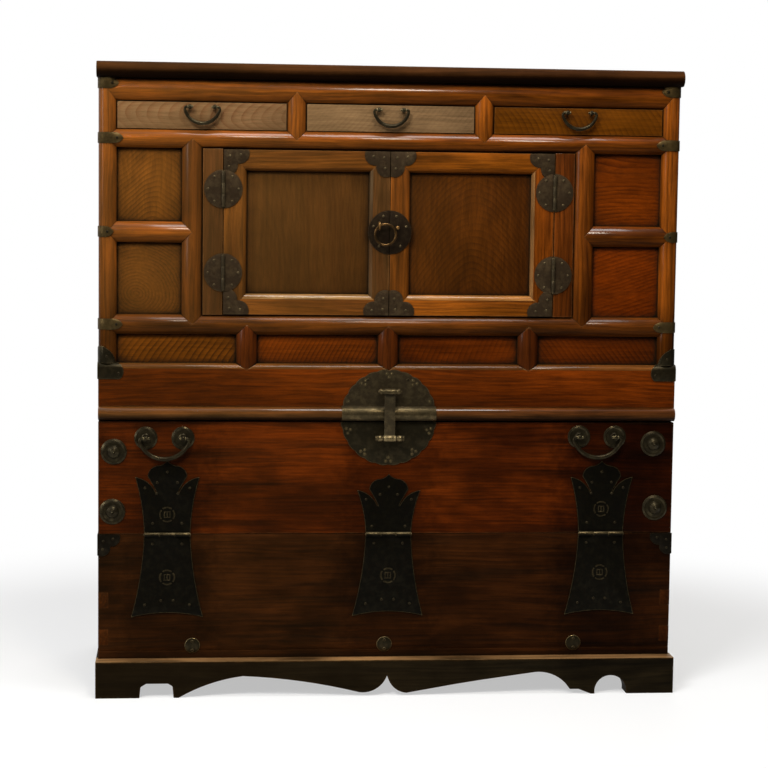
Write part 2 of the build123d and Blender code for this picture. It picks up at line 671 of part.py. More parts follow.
def bail(x, y, z, span, drop, wire, belly, bend, head):
    """A hanging handle: a crescent whose thin ends turn inwards through the heads of two posts.

    A small arc of radius bend joins each end to one large arc. The large radius follows from
    the tangency of the arcs. The crescent swells from the wire to its belly along that arc."""
    end = span / 2 + head + KNUCKLE_GAP
    big = (end ** 2 + drop ** 2 - 2 * bend * drop) / (2 * (drop - 2 * bend))
    centre = Vector(0, big - drop)
    small = Vector(end, -bend)
    reach = (small - centre).normalized()
    meet = centre + reach * big
    turn = math.atan2(reach.Y, reach.X)
    halfway = (math.pi / 2 + turn) / 2
    bulge = small + Vector(math.cos(halfway), math.sin(halfway)) * bend
    pin_start = span / 2 - head - 1
    bend_arc = ThreePointArc((end, 0), (bulge.X, bulge.Y), (meet.X, meet.Y))
    section = Plane(origin=(pin_start, 0, 0), z_dir=(1, 0, 0)) * Circle(wire)
    hook = sweep(section, path=Plane.XZ * (Line((pin_start, 0), (end, 0)) + bend_arc))
    arc = Plane.XZ * ThreePointArc((meet.X, meet.Y), (0, -drop), (-meet.X, meet.Y))
    sections = [
        Plane(origin=arc @ share, z_dir=arc % share) * Circle(radius)
        for share, radius in ((0, wire), (0.5, belly), (1, wire))
    ]
    crescent = sweep(sections, path=arc, multisection=True)
    return Pos(x, y, z) * (crescent + hook + mirror(hook, about=Plane.YZ))


def ball_on_stem(x, face, z, standoff, stem, ball):
    """A stem with a ball at its end, turned in one piece; standoff is the ball's middle."""
    neck = math.sqrt(ball ** 2 - stem ** 2)
    profile = make_face(
        Polyline((0, 0), (stem, 0), (stem, neck - standoff))
        + ThreePointArc((stem, neck - standoff), (ball, -standoff), (0, -standoff - ball))
        + Line((0, -standoff - ball), (0, 0))
    )
    return Pos(x, face, z) * revolve(profile, Axis.Y)


def bail_post(x, face, z, standoff, stem, head, wire):
    """One post of a bail; the bail's end turns in a hole across its ball."""
    post = ball_on_stem(x, face, z, standoff, stem, head)
    return post - rod_x(x - 2 * head, x + 2 * head, face - standoff, z, wire + RUNNING)


def pull_height():
    return (Z_DRAWERS + Z_TOP_RAIL) / 2 + PULL_RISE


def pull_posts(x):
    size = (PULL_STANDOFF, PULL_STEM_R, PULL_HEAD_R, PULL_WIRE_R)
    return [
        bail_post(x + side * PULL_SPAN / 2, DRAWER_FACE, pull_height(), *size)
        for side in (LEFT, RIGHT)
    ]


def pull_bail(x):
    size = (PULL_SPAN, PULL_DROP, PULL_WIRE_R, PULL_BELLY_R, PULL_BEND_R, PULL_HEAD_R)
    return bail(x, DRAWER_FACE - PULL_STANDOFF, pull_height(), *size)


# --- Doors ---------------------------------------------------------------------------------------
def door_edges(side):
    """Hinge edge and meeting edge of a door, in X."""
    hinge = SETOUT_X + side * (DOORWAY_HALF_W - DOOR_GAP)
    meeting = SETOUT_X + side * DOOR_GAP / 2
    return hinge, meeting


def door_panel(side):
    hinge, meeting = door_edges(side)
    inner_hinge = hinge - side * (HINGE_STILE_W - GROOVE)
    inner_meeting = meeting + side * (MEETING_STILE_W - GROOVE)
    x0, x1 = sorted((inner_hinge, inner_meeting))
    z0 = Z_DOORWAY + DOOR_GAP + DOOR_RAIL_W - GROOVE
    z1 = Z_UPPER_RAIL - DOOR_GAP - DOOR_RAIL_W + GROOVE
    y0 = DOOR_FACE + DOOR_PANEL_Y
    return block(x0, x1, y0, y0 + DOOR_PANEL_T, z0, z1)


def door_bar(width, length):
    """A member of a door frame along Z: outer edge at x = 0, inner edge rounded."""
    front = DOOR_FACE
    back = DOOR_FACE + DOOR_T
    start = width - DOOR_ROUND
    low = (start + DOOR_ROUND * math.sin(math.pi / 4), front + DOOR_ROUND * (1 - math.cos(math.pi / 4)))
    profile = make_face(
        Polyline((start, front), (0, front), (0, back), (width, back), (width, front + DOOR_ROUND))
        + ThreePointArc((width, front + DOOR_ROUND), low, (start, front))
    )
    return extrude(profile, amount=length)


def door_frame(side):
    """Two stiles and two rails, mitred at 45 degrees from the inner corners, and grooved."""
    hinge, meeting = [edge - SETOUT_X for edge in door_edges(LEFT)]
    z0 = Z_DOORWAY + DOOR_GAP
    z1 = Z_UPPER_RAIL - DOOR_GAP
    rail = Rot(0, 90, 0) * door_bar(DOOR_RAIL_W, meeting - hinge)
    low_rail = Pos(hinge, 0, z0) * mirror(rail, about=Plane.XY)
    high_rail = Pos(hinge, 0, z1) * rail
    low_plan, high_plan = rail_plans(hinge + HINGE_STILE_W, meeting - MEETING_STILE_W, z0, z1)
    hinge_stile = Pos(hinge, 0, z0) * door_bar(HINGE_STILE_W, z1 - z0)
    meeting_stile = mirror(door_bar(MEETING_STILE_W, z1 - z0), about=Plane.YZ)
    stiles = [hinge_stile, Pos(meeting, 0, z0) * meeting_stile]
    members = [low_rail & low_plan, high_rail & high_plan]
    members += [minus(stile, [low_plan, high_plan]) for stile in stiles]
    if side == RIGHT:
        members = [mirror(member, about=Plane.YZ) for member in members]
    return [Pos(SETOUT_X, 0, 0) * member - door_panel(side) for member in members]


def rail_plans(inner_hinge, inner_meeting, z0, z1):
    """What the mitres leave of the lower and of the upper rail of a door."""
    width = DOOR_RAIL_W
    x0, x1 = inner_hinge - width, inner_meeting + width
    back = DOOR_FACE + DOOR_T
    low = polygon((x0, z0), (x1, z0), (inner_meeting, z0 + width), (inner_hinge, z0 + width))
    high = polygon((x0, z1), (x1, z1), (inner_meeting, z1 - width), (inner_hinge, z1 - width))
    return slab(low, DOOR_FACE, back), slab(high, DOOR_FACE, back)


def corner_iron_outline(size):
    """A corner iron: two straight outer edges and two lobes that meet in a cusp."""
    cusp = size * 0.56
    side = Polyline((0, size), (0, 0), (size, 0))
    low = ThreePointArc((size, 0), (size * 0.97, size * 0.37), (cusp, cusp))
    high = ThreePointArc((cusp, cusp), (size * 0.37, size * 0.97), (0, size))
    return make_face(side + low + high)


def door_corner_irons(side):
    hinge, meeting = door_edges(side)
    z0 = Z_DOORWAY + DOOR_GAP
    z1 = Z_UPPER_RAIL - DOOR_GAP
    irons = []
    for x, inward in ((hinge, -side), (meeting, side)):
        for z, upward in ((z0, 1), (z1, -1)):
            iron = slab(corner_iron_outline(DOOR_IRON), -IRON_T, 0)
            if inward < 0:
                iron = mirror(iron, about=Plane.YZ)
            if upward < 0:
                iron = mirror(iron, about=Plane.XY)
            irons.append(minus(Pos(x, DOOR_FACE, z) * iron, door_hinge_rooms(side)))
    return irons


def door_hinge_rooms(side):
    """Room for the round hinges, which the corner irons are cut around."""
    x, y = door_axis(side)
    radius = DOOR_HINGE_R + KNUCKLE_GAP
    return [rod_y(x, -FAR, FAR, Z_DOORWAY + height, radius) for height in DOOR_HINGE_Z]


def ring_plate(side):
    """Half of the round plate behind the ring; it ends at the door's meeting edge."""
    hinge, meeting = door_edges(side)
    disc = rod_y(SETOUT_X, DOOR_FACE - IRON_T, DOOR_FACE, ring_plate_z(), RING_PLATE_R)
    far = SETOUT_X + side * 2 * RING_PLATE_R
    z = ring_plate_z()
    half = block(*sorted((meeting, far)), -FAR, FAR, z - 2 * RING_PLATE_R, z + 2 * RING_PLATE_R)
    return disc & half


def ring_plate_z():
    return Z_DOORWAY + RING_PLATE_Z


def ring_eye_centre():
    turn = math.radians(EYE_TURN)
    x = SETOUT_X + RING_AT[0] + RING_R * math.cos(turn)
    z = ring_plate_z() + RING_AT[1] + RING_R * math.sin(turn)
    return x, DOOR_FACE - IRON_T - EYE_STANDOFF, z


def ring_eye():
    x, y, z = ring_eye_centre()
    eye = Pos(x, y, z) * Rot(0, 90, 0) * Torus(EYE_R, EYE_WIRE_R)
    return eye + rod_y(x, y + EYE_R, DOOR_FACE - IRON_T, z, EYE_WIRE_R)


def door_ring():
    x, y, z = ring_eye_centre()
    centre = Pos(SETOUT_X + RING_AT[0], y, ring_plate_z() + RING_AT[1])
    return centre * Rot(90, 0, 0) * Torus(RING_R, RING_WIRE_R)


def door_knob():
    x = SETOUT_X + KNOB_AT[0]
    z = ring_plate_z() + KNOB_AT[1]
    face = DOOR_FACE - IRON_T
    return ball_on_stem(x, face, z, EYE_STANDOFF - KNOB_R, KNOB_R * 0.6, KNOB_R)


def door_axis(side):
    """Hinge axis of a door: in the middle of the gap, in front of the face."""
    x = SETOUT_X + side * (DOORWAY_HALF_W - DOOR_GAP / 2)
    return x, DOOR_FACE - DOOR_KNUCKLE_R - KNUCKLE_CLEAR


def door_hinge(side, z):
    """Leaf on the door, leaf on the post and pin of one round hinge."""
    x, y = door_axis(side)
    low = z - DOOR_KNUCKLE_H / 2
    marks = [low + k * DOOR_KNUCKLE_H / 3 for k in range(4)]
    gap = KNUCKLE_GAP / 2
    disc = rod_y(x, DOOR_FACE - IRON_T, DOOR_FACE, z, DOOR_HINGE_R)
    reach = 2 * DOOR_HINGE_R
    seam = DOOR_GAP / 4
    inner = block(*sorted((x - side * seam, x - side * reach)), -FAR, FAR, z - reach, z + reach)
    outer = block(*sorted((x + side * seam, x + side * reach)), -FAR, FAR, z - reach, z + reach)
    centre = rod_z(x, y, marks[1] + gap, marks[2] - gap, DOOR_KNUCKLE_R)
    ends = [
        rod_z(x, y, marks[0], marks[1] - gap, DOOR_KNUCKLE_R),
        rod_z(x, y, marks[2] + gap, marks[3], DOOR_KNUCKLE_R),
    ]
    clear = DOOR_KNUCKLE_R + KNUCKLE_CLEAR
    centre_room = rod_z(x, y, marks[1] - gap, marks[2] + gap, clear)
    end_room = [
        rod_z(x, y, z - DOOR_HINGE_R, marks[1] + gap, clear),
        rod_z(x, y, marks[2] - gap, z + DOOR_HINGE_R, clear),
    ]
    pin = rod_z(x, y, marks[0] - 1, marks[3] + 1, DOOR_PIN_R)
    bore = rod_z(x, y, marks[0], marks[3], DOOR_PIN_R + RUNNING)
    door_leaf = minus(disc & inner, end_room) + centre - bore
    post_leaf = (disc & outer) - centre_room + ends - pin
    return door_leaf, post_leaf, pin


def door_hinges():
    leaves = {LEFT: [], RIGHT: []}
    post_leaves = []
    pins = []
    for side in (LEFT, RIGHT):
        for height in DOOR_HINGE_Z:
            door_leaf, post_leaf, pin = door_hinge(side, Z_DOORWAY + height)
            leaves[side].append(door_leaf)
            post_leaves.append(post_leaf)
            pins.append(pin)
    return leaves, post_leaves, pins


# --- Strap hinges of the flap ----------------------------------------------------------------------
def strap_crown_half(notch, at):
    """One half of a strap hinge's horned end; at places a point on that half."""
    def place(point):
        return at(point[0], notch + point[1])

    foot = at(STRAP_HALF_W, 0)
    horn = place(STRAP_HORN)
    low, cleft = [place(point) for point in STRAP_CLEFT]
    swell, waist, shoulder, neck, tip_bend, tip = [place(point) for point in STRAP_LOBE]
    return [
        ThreePointArc(foot, at(STRAP_HALF_W + STRAP_SIDE_BULGE, horn[1] / 2), horn),
        ThreePointArc(horn, place(STRAP_HORN_HOLLOW), low),
        Line(low, cleft),
        ThreePointArc(cleft, swell, waist),
        ThreePointArc(waist, shoulder, neck),
        ThreePointArc(neck, tip_bend, tip),
    ]


def strap_upper_outline(notch):
    """The end of a strap hinge on the flap: two horns, and between them a pointed lobe."""
    right = strap_crown_half(notch, lambda dx, dz: (dx, dz))
    left = strap_crown_half(notch, lambda dx, dz: (-dx, dz))
    curve = Line((-STRAP_HALF_W, 0), (STRAP_HALF_W, 0))
    for piece in right + left:
        curve = curve + piece
    return make_face(curve)


def strap_lower_outline():
    """The foot of a strap hinge, which widens downwards to a hollow end."""
    half = STRAP_HALF_W
    foot = STRAP_FOOT_HALF_W
    drop = STRAP_LEAF_DROP
    curve = Line((-half, 0), (half, 0))
    side = half + STRAP_FLARE
    curve = curve + ThreePointArc((half, 0), (side, -drop / 2), (foot, -drop))
    curve = curve + ThreePointArc((foot, -drop), (0, STRAP_HOLLOW - drop), (-foot, -drop))
    curve = curve + ThreePointArc((-foot, -drop), (-side, -drop / 2), (-half, 0))
    return make_face(curve)


def strap_hinge(x, notch):
    """Leaf on the flap, leaf on the fixed board and pin of one strap hinge."""
    y = STRAP_AXIS_Y
    z = Z_SEAM
    half = STRAP_HALF_W
    third = 2 * half / 3
    clear = STRAP_KNUCKLE_R + KNUCKLE_CLEAR
    marks = (x - half, x - half + third, x - half + 2 * third, x + half)
    gap = KNUCKLE_GAP / 2
    bore = rod_x(x - half, x + half, y, z, STRAP_PIN_R + RUNNING)
    pin = rod_x(x - half - 1, x + half + 1, y, z, STRAP_PIN_R)
    upper = Pos(x, 0, z) * slab(strap_upper_outline(notch), -STRAP_T, 0)
    upper = upper - block(x - FAR, x + FAR, -FAR, FAR, z - FAR, z + FLAP_LOW_GAP)
    lower = Pos(x, 0, z) * slab(strap_lower_outline(), -STRAP_T, 0)
    ends = [
        rod_x(marks[0], marks[1] - gap, y, z, STRAP_KNUCKLE_R),
        rod_x(marks[2] + gap, marks[3], y, z, STRAP_KNUCKLE_R),
    ]
    centre = rod_x(marks[1] + gap, marks[2] - gap, y, z, STRAP_KNUCKLE_R)
    end_room = [
        rod_x(marks[0] - 1, marks[1] + gap, y, z, clear),
        rod_x(marks[2] - gap, marks[3] + 1, y, z, clear),
    ]
    centre_room = rod_x(marks[1] - gap, marks[2] + gap, y, z, clear)
    webs = [
        block(marks[0], marks[1] - gap, y, y + clear, z, z + STRAP_KNUCKLE_R),
        block(marks[2] + gap, marks[3], y, y + clear, z, z + STRAP_KNUCKLE_R),
    ]
    centre_web = block(marks[1] + gap, marks[2] - gap, y, y + clear, z - STRAP_KNUCKLE_R, z)
    flap_leaf = (upper - centre_room) + ends + webs - bore
    fixed_leaf = minus(lower, end_room) + centre + centre_web - pin
    return flap_leaf, fixed_leaf, pin


# --- Other ironwork of the lower chest ---------------------------------------------------------------
def boss(x, z):
    """A domed boss: flat rim, bead, hollow and a pointed dome."""
    return turned(BOSS_PROFILE, x, 0, z)


def rosette_post(x, z):
    """Round rosette and the post through it that holds one end of a flap bail."""
    disc = turned(ROSETTE_PROFILE, x, 0, z)
    size = (HANDLE_STANDOFF, HANDLE_STEM_R, HANDLE_HEAD_R, HANDLE_WIRE_R)
    return disc + bail_post(x, 0, z, *size)


def flap_handle_posts():
    posts = []
    for x, below in zip(HANDLE_X, HANDLE_BELOW):
        for side in (LEFT, RIGHT):
            posts.append(rosette_post(x + side * HANDLE_SPAN / 2, Z_FLAP_TOP - below))
    return posts


def flap_bail(k):
    size = (HANDLE_SPAN, HANDLE_DROP, HANDLE_WIRE_R, HANDLE_BELLY_R, HANDLE_BEND_R, HANDLE_HEAD_R)
    return bail(HANDLE_X[k], -HANDLE_STANDOFF, Z_FLAP_TOP - HANDLE_BELOW[k], *size)


def lock_disc():
    """The scalloped round plate, before it is parted at the middle board."""
    step = 2 * math.pi / LOCK_LOBES
    curve = None
    for k in range(LOCK_LOBES):
        a, b, c = k * step, (k + 0.5) * step, (k + 1) * step
        valley = LOCK_R - LOCK_SCALLOP
        arc = ThreePointArc(
            (valley * math.cos(a), valley * math.sin(a)),
            (LOCK_R * math.cos(b), LOCK_R * math.sin(b)),
            (valley * math.cos(c), valley * math.sin(c)),
        )
        curve = arc if curve is None else curve + arc
    return Pos(LOCK_X, 0, LOCK_Z) * slab(make_face(curve), -IRON_T, 0)


def lock_plate_upper():
    """Upper part of the lock plate, wrapped over the round rail, with the hanger of the hasp."""
    far = 2 * LOCK_R
    above = block(LOCK_X - far, LOCK_X + far, -FAR, FAR, Z_SKIRT, Z_SKIRT + far)
    plate = lock_disc() & above
    radius = MIDDLE_T / 2
    x0 = LOCK_X - LOCK_R + LOCK_SCALLOP
    x1 = LOCK_X + LOCK_R - LOCK_SCALLOP
    outer = rod_x(x0, x1, 0, Z_MIDDLE + radius, radius + IRON_T)
    wrap = outer - rod_x(x0 - 1, x1 + 1, 0, Z_MIDDLE + radius, radius)
    wrap = wrap & block(x0, x1, -2 * radius, 0, Z_MIDDLE, Z_SKIRT + IRON_T)
    size = (HASP_PIVOT_OUT - IRON_T, LUG_STEM_R, LUG_R)
    hanger = [
        ball_on_stem(LOCK_X + side * hanger_x(), -IRON_T, HASP_PIVOT_Z, *size)
        for side in (LEFT, RIGHT)
    ]
    return plate + wrap + hanger - hasp_pin()


def hanger_x():
    """Middle of each ball of the hanger, beside the hasp's eye."""
    return HASP_W / 2 + LUG_GAP + LUG_R


def hasp_pin():
    half = hanger_x() + LUG_R
    return rod_x(LOCK_X - half, LOCK_X + half, -HASP_PIVOT_OUT, HASP_PIVOT_Z, HASP_PIN_R)


def lock_plate_lower():
    """Lower part of the lock plate on the flap, with two lugs beside the end of the hasp."""
    far = 2 * LOCK_R
    below = block(LOCK_X - far, LOCK_X + far, -FAR, FAR, LOCK_Z - far, Z_FLAP_TOP)
    plate = lock_disc() & below
    size = (HASP_END_OUT - IRON_T, LUG_STEM_R, LUG_R)
    lug_x = HASP_END_W / 2 + LUG_GAP + LUG_R
    lugs = [
        ball_on_stem(LOCK_X + side * lug_x, -IRON_T, HASP_END_Z, *size)
        for side in (LEFT, RIGHT)
    ]
    bore = rod_x(LOCK_X - FAR, LOCK_X + FAR, -HASP_END_OUT, HASP_END_Z, LOCK_BORE_R)
    return plate + lugs - bore


def hasp():
    """The hasp: an eye on the hanger's pin, a flat strap and a tube between the lugs."""
    x0 = LOCK_X - HASP_W / 2
    top = (-HASP_PIVOT_OUT, HASP_PIVOT_Z)
    end = (-HASP_END_OUT, HASP_END_Z)
    outline = polygon(
        (top[0] - HASP_T / 2, top[1]), (top[0] + HASP_T / 2, top[1]),
        (end[0] + HASP_T / 2, end[1]), (end[0] - HASP_T / 2, end[1]),
    )
    strap = extrude(Plane.YZ.offset(x0) * outline, amount=HASP_W)
    eye = rod_x(x0, x0 + HASP_W, *top, HASP_EYE_R)
    tube = rod_x(LOCK_X - HASP_END_W / 2, LOCK_X + HASP_END_W / 2, *end, LUG_R)
    pin_hole = rod_x(x0 - 1, x0 + HASP_W + 1, *top, HASP_PIN_R + RUNNING)
    bore = rod_x(LOCK_X - FAR, LOCK_X + FAR, *end, LOCK_BORE_R)
    return strap + eye + tube - pin_hole - bore


# --- Irons of the case ---------------------------------------------------------------------------
def base_discs():
    return [turned(DISC_PROFILE, x, 0, Z_BOTTOM + DISC_RISE) for x in DISC_X]


def wrapped_iron(outline, skins, cores):
    """A thin iron around the left front corner: the same outline on the front and on the side.

    The outline gives the distance from the corner and the height. The skins are the wood with
    the iron's thickness added, the cores are the wood itself."""
    face = Pos(-HALF_W, 0, 0) * slab(outline, -CUT, CROWN)
    side = extrude(Plane.YZ.offset(-HALF_W - CUT) * outline, amount=CUT + CROWN)
    shell = skins[0] + skins[1:]
    return minus(shell & (face + side), cores)


def leaf_outline(length, low, high):
    """A leaf that ends in a round tip; it starts outside the corner so that it wraps it."""
    height = high - low
    tip = (length, low + height / 2)
    bend = length - 0.75 * height
    bulge = length - 0.2 * height
    start = -CUT
    return make_face(
        Polyline((bend, high), (start, high), (start, low), (bend, low))
        + ThreePointArc((bend, low), (bulge, low + height * 0.24), tip)
        + ThreePointArc(tip, (bulge, high - height * 0.24), (bend, high))
    )


def rail_skins(z, width, inner_end):
    """Short lengths of the front rail and of the side rail at one level, with a skin."""
    skin = IRON_T
    start = POST_W / 2
    plane = Plane(origin=(inner_end - HALF_W, 0, z), x_dir=(0, 0, 1), z_dir=(-1, 0, 0))
    front = extrude(plane * crowned(width, skin=skin), amount=inner_end - start)
    plane = Plane(origin=(-HALF_W, start, z), x_dir=(0, 0, 1), z_dir=(0, 1, 0))
    side = extrude(plane * crowned(width, depth=POST_W, skin=skin), amount=inner_end - start)
    return [front, side]


def rail_irons():
    """Irons on the ends of the rails, from the lower rail up to the top rail."""
    half = RAIL_IRON_H / 2
    cell_iron_z = Z_CELL_RAIL - half
    levels = (
        (Z_LOWER_RAIL, LOWER_RAIL_H, Z_LOWER_RAIL + LOWER_RAIL_H / 2 - half),
        (Z_CELL_RAIL - CELL_RAIL_W / 2, CELL_RAIL_W, cell_iron_z),
        (Z_UPPER_RAIL, UPPER_RAIL_H, Z_UPPER_RAIL + UPPER_RAIL_H / 2 - half),
        (Z_TOP_RAIL, TOP_RAIL_H, Z_TOP_BOARD - RAIL_IRON_H),
    )
    irons = []
    for (z, width, low), length in zip(levels, RAIL_IRON_LENGTHS):
        middle = z + width / 2
        skins = [front_post(IRON_T)] + rail_skins(middle, width, length)
        rail, front_tips = rail_x(-POST_IN, 0, middle, width, POST_W / 2, 0.01)
        side, side_tips = side_rail(middle, width)
        outline = leaf_outline(length, low, low + RAIL_IRON_H)
        irons += both_sides(wrapped_iron(outline, skins, [front_post(), rail, side]))
    return irons


def skirt_iron_outline():
    """A broad lobe on the skirt board and a smaller one on the foot of the post."""
    lobe = [(x, Z_LOW_PANEL + z) for x, z in SKIRT_IRON_LOBE]
    tip = [(x, Z_LOW_PANEL + z) for x, z in SKIRT_IRON_TIP]
    return make_face(
        Polyline((-CUT, tip[-1][1]), (-CUT, lobe[0][1]), lobe[0])
        + ThreePointArc(*lobe)
        + ThreePointArc(*tip)
        + Line(tip[-1], (-CUT, tip[-1][1]))
    )


def skirt_irons():
    skins = [front_post(IRON_T), front_skirt_board(IRON_T), side_skirt_board(IRON_T)]
    cores = [front_post(), front_skirt_board(), side_skirt_board()]
    return both_sides(wrapped_iron(skirt_iron_outline(), skins, cores))


def foot_irons():
    """Corner irons of the fixed front board, folded round to the side."""
    size = FOOT_IRON_SIZE
    leaf = Pos(0, Z_SEAM) * mirror(corner_iron_outline(size), about=Plane.XZ)
    front = Pos(-HALF_W, 0, 0) * slab(leaf, -IRON_T, 0)
    side = extrude(Plane.YZ.offset(-HALF_W - IRON_T) * leaf, amount=IRON_T)
    corner = block(-HALF_W - IRON_T, -HALF_W, -IRON_T, 0, Z_SEAM - size, Z_SEAM)
    return both_sides(front + side + corner)


# --- Writing ---------------------------------------------------------------------------------------
def case_nodes():
    return {
        "base_front": [base_front()],
        "base_sides_and_back": base_sides_and_back(),
        "bottom_board": [bottom_board()],
        "lower_sides": lower_sides(),
        "lower_front_board": [lower_front_board()],
        "lower_back_board": [lower_back_board()],
        "middle_board": [middle_board()],
        "skirt_front": [skirt_front()],
        "skirt_sides": skirt_sides(),
        "corner_posts": corner_posts(),
        "front_rails": front_rails(),
        "muntins": FRONT["muntins"],
        "cell_stiles": FRONT["stiles"],
        "cell_rails": FRONT["cell_rails"],
        "door_posts": door_posts(),
        "cell_panels": CELL_PANELS,
        "low_panels": LOW_PANELS,
        "side_rails": SIDE_RAILS,
        "side_panels": SIDE_PANELS,
        "upper_back_boards": BACK_BOARDS_SOLIDS,
        "cupboard_floor": [CUPBOARD_FLOOR],
        "dust_board": [DUST_BOARD],
        "drawer_guides": drawer_guides(),
        "top_board": [top_board()],
        "base_discs": base_discs(),
        "rail_irons": rail_irons(),
        "board_corner_irons": skirt_irons() + foot_irons(),
    }


def drawer_nodes():
    nodes = {}
    for number, (x0, x1) in enumerate(drawer_bays(), start=1):
        middle = (x0 + x1) / 2
        nodes[f"drawer_{number}_front"] = [drawer_front(x0, x1)]
        nodes[f"drawer_{number}_box"] = drawer_box(x0, x1)
        nodes[f"drawer_{number}_pull_posts"] = pull_posts(middle)
        nodes[f"drawer_{number}_bail"] = [pull_bail(middle)]
    return nodes


def door_nodes():
    leaves, post_leaves, pins = door_hinges()
    nodes = {"door_post_hinge_leaves": post_leaves}
    for side, name in ((LEFT, "left"), (RIGHT, "right")):
        fixture = ring_eye() if side == LEFT else door_knob()
        nodes[f"door_{name}_frame"] = door_frame(side)
        nodes[f"door_{name}_panel"] = [door_panel(side)]
        nodes[f"door_{name}_irons"] = door_corner_irons(side) + [ring_plate(side) + fixture]
        nodes[f"door_{name}_hinge_leaves"] = leaves[side]
    nodes["door_ring"] = [door_ring()]
    return nodes, pins


def flap_nodes():
    upper = []
    lower = []
    pins = []
    for x, notch in zip(STRAP_X, STRAP_NOTCH):
        flap_leaf, fixed_leaf, pin = strap_hinge(x, notch)
        upper.append(flap_leaf)
        lower.append(fixed_leaf)
        pins.append(pin)
    nodes = {
        "flap_board": [block(-HALF_W, HALF_W, 0, BOARD_T, Z_FLAP, Z_FLAP_TOP)],
        "strap_upper_leaves": upper,
        "strap_lower_leaves": lower,
        "flap_bosses": [boss(x, Z_FLAP_TOP - below) for x, below in BOSS_AT],
        "flap_handle_posts": flap_handle_posts(),
        "flap_bail_left": [flap_bail(0)],
        "flap_bail_right": [flap_bail(1)],
        "lock_plate_upper": [lock_plate_upper()],
        "lock_plate_lower": [lock_plate_lower()],
        "hasp": [hasp()],
    }
    return nodes, pins


def write(nodes):
    os.makedirs("parts", exist_ok=True)
    for name, pieces in nodes.items():
        solids = [solid for piece in pieces for solid in piece.solids()]
        moved = Compound(children=[Pos(0, Y_SHIFT, 0) * solid for solid in solids])
        export_step(moved, f"parts/{name}.step")


nodes = case_nodes()
nodes.update(drawer_nodes())
doors, door_pins = door_nodes()
flap, strap_pins = flap_nodes()
nodes.update(doors)
nodes.update(flap)
nodes["hinge_pins"] = door_pins + strap_pins + [hasp_pin()]
write(nodes)
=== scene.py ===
# %% [markdown]
# # A Korean two tier chest, dressed for its looks
# The chest is a framed cupboard over a drop-front box. Its construction comes from the packed
# model: every board, hinge leaf and pin is there at its real size. This lesson adds what years
# of use add: eased edges, figured wood, dark forged iron, nail heads and chased ornament.

# %% Load the frame
import json
import math

import bpy
from mathutils import Matrix, Vector

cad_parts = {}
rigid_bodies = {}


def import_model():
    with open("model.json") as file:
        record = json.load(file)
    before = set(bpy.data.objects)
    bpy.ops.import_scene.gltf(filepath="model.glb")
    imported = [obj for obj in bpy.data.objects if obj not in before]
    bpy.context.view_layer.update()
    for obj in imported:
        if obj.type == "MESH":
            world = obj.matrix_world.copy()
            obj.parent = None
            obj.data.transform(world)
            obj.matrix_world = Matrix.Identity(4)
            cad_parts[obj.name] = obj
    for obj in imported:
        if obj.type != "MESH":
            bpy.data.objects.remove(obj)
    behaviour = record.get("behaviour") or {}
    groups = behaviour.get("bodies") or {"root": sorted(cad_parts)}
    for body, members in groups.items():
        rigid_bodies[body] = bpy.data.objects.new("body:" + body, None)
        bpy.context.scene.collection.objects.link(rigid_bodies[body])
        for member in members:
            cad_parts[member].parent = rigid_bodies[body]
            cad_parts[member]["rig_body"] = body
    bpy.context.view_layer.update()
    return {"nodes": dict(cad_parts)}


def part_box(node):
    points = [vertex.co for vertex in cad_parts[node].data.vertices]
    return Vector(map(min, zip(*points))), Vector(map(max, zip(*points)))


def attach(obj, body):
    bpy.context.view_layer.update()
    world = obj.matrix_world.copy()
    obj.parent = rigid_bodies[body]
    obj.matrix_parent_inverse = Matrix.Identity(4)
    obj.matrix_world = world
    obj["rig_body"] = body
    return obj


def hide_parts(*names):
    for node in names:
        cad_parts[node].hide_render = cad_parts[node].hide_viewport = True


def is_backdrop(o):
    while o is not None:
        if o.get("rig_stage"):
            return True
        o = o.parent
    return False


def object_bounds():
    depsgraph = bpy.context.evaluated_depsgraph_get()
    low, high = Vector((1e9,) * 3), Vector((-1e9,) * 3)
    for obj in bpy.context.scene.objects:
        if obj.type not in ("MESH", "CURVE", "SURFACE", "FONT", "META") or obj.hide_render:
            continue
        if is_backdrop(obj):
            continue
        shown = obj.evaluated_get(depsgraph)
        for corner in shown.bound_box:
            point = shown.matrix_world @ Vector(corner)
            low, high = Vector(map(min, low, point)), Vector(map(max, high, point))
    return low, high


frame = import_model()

# %% [markdown]
# ## Units and places
# Lengths on furniture are easiest to read in millimetres, so `mm` turns them into metres. The
# front plane of the chest and the levels of its boards are read from the frame, so that what is
# added later follows the model.

# %% Millimetres and the front plane
def mm(value):
    return value / 1000.0


def levels(node):
    """Foot and top of a node in millimetres."""
    return [corner.z * 1000.0 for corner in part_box(node)]


FRONT_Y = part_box("flap_board")[0].y
print("front plane at y =", round(FRONT_Y, 4))

# %% [markdown]
# ## The camera
# A long lens from about four metres away keeps the uprights nearly parallel. It stands a little
# to the left of the chest, turned towards it, and looks slightly down.

# %% Camera
CAMERA_AT = (-0.3709, -3.9556, 0.9111)
CAMERA_YAW = math.radians(5.486)
CAMERA_PITCH = math.radians(5.264)
CAMERA_ROLL = math.radians(0.728)
LENS_MM = 98.4

camera_data = bpy.data.cameras.new("camera")
camera_data.lens = LENS_MM
camera_data.sensor_width = 36.0
camera = bpy.data.objects.new("camera", camera_data)
bpy.context.scene.collection.objects.link(camera)
camera.matrix_world = (
    Matrix.Translation(CAMERA_AT)
    @ Matrix.Rotation(-CAMERA_YAW, 4, "Z")
    @ Matrix.Rotation(math.pi / 2 - CAMERA_PITCH, 4, "X")
    @ Matrix.Rotation(CAMERA_ROLL, 4, "Z")
)
bpy.context.scene.camera = camera
bpy.context.scene.view_settings.view_transform = "Standard"
print("camera lens", LENS_MM, "mm")

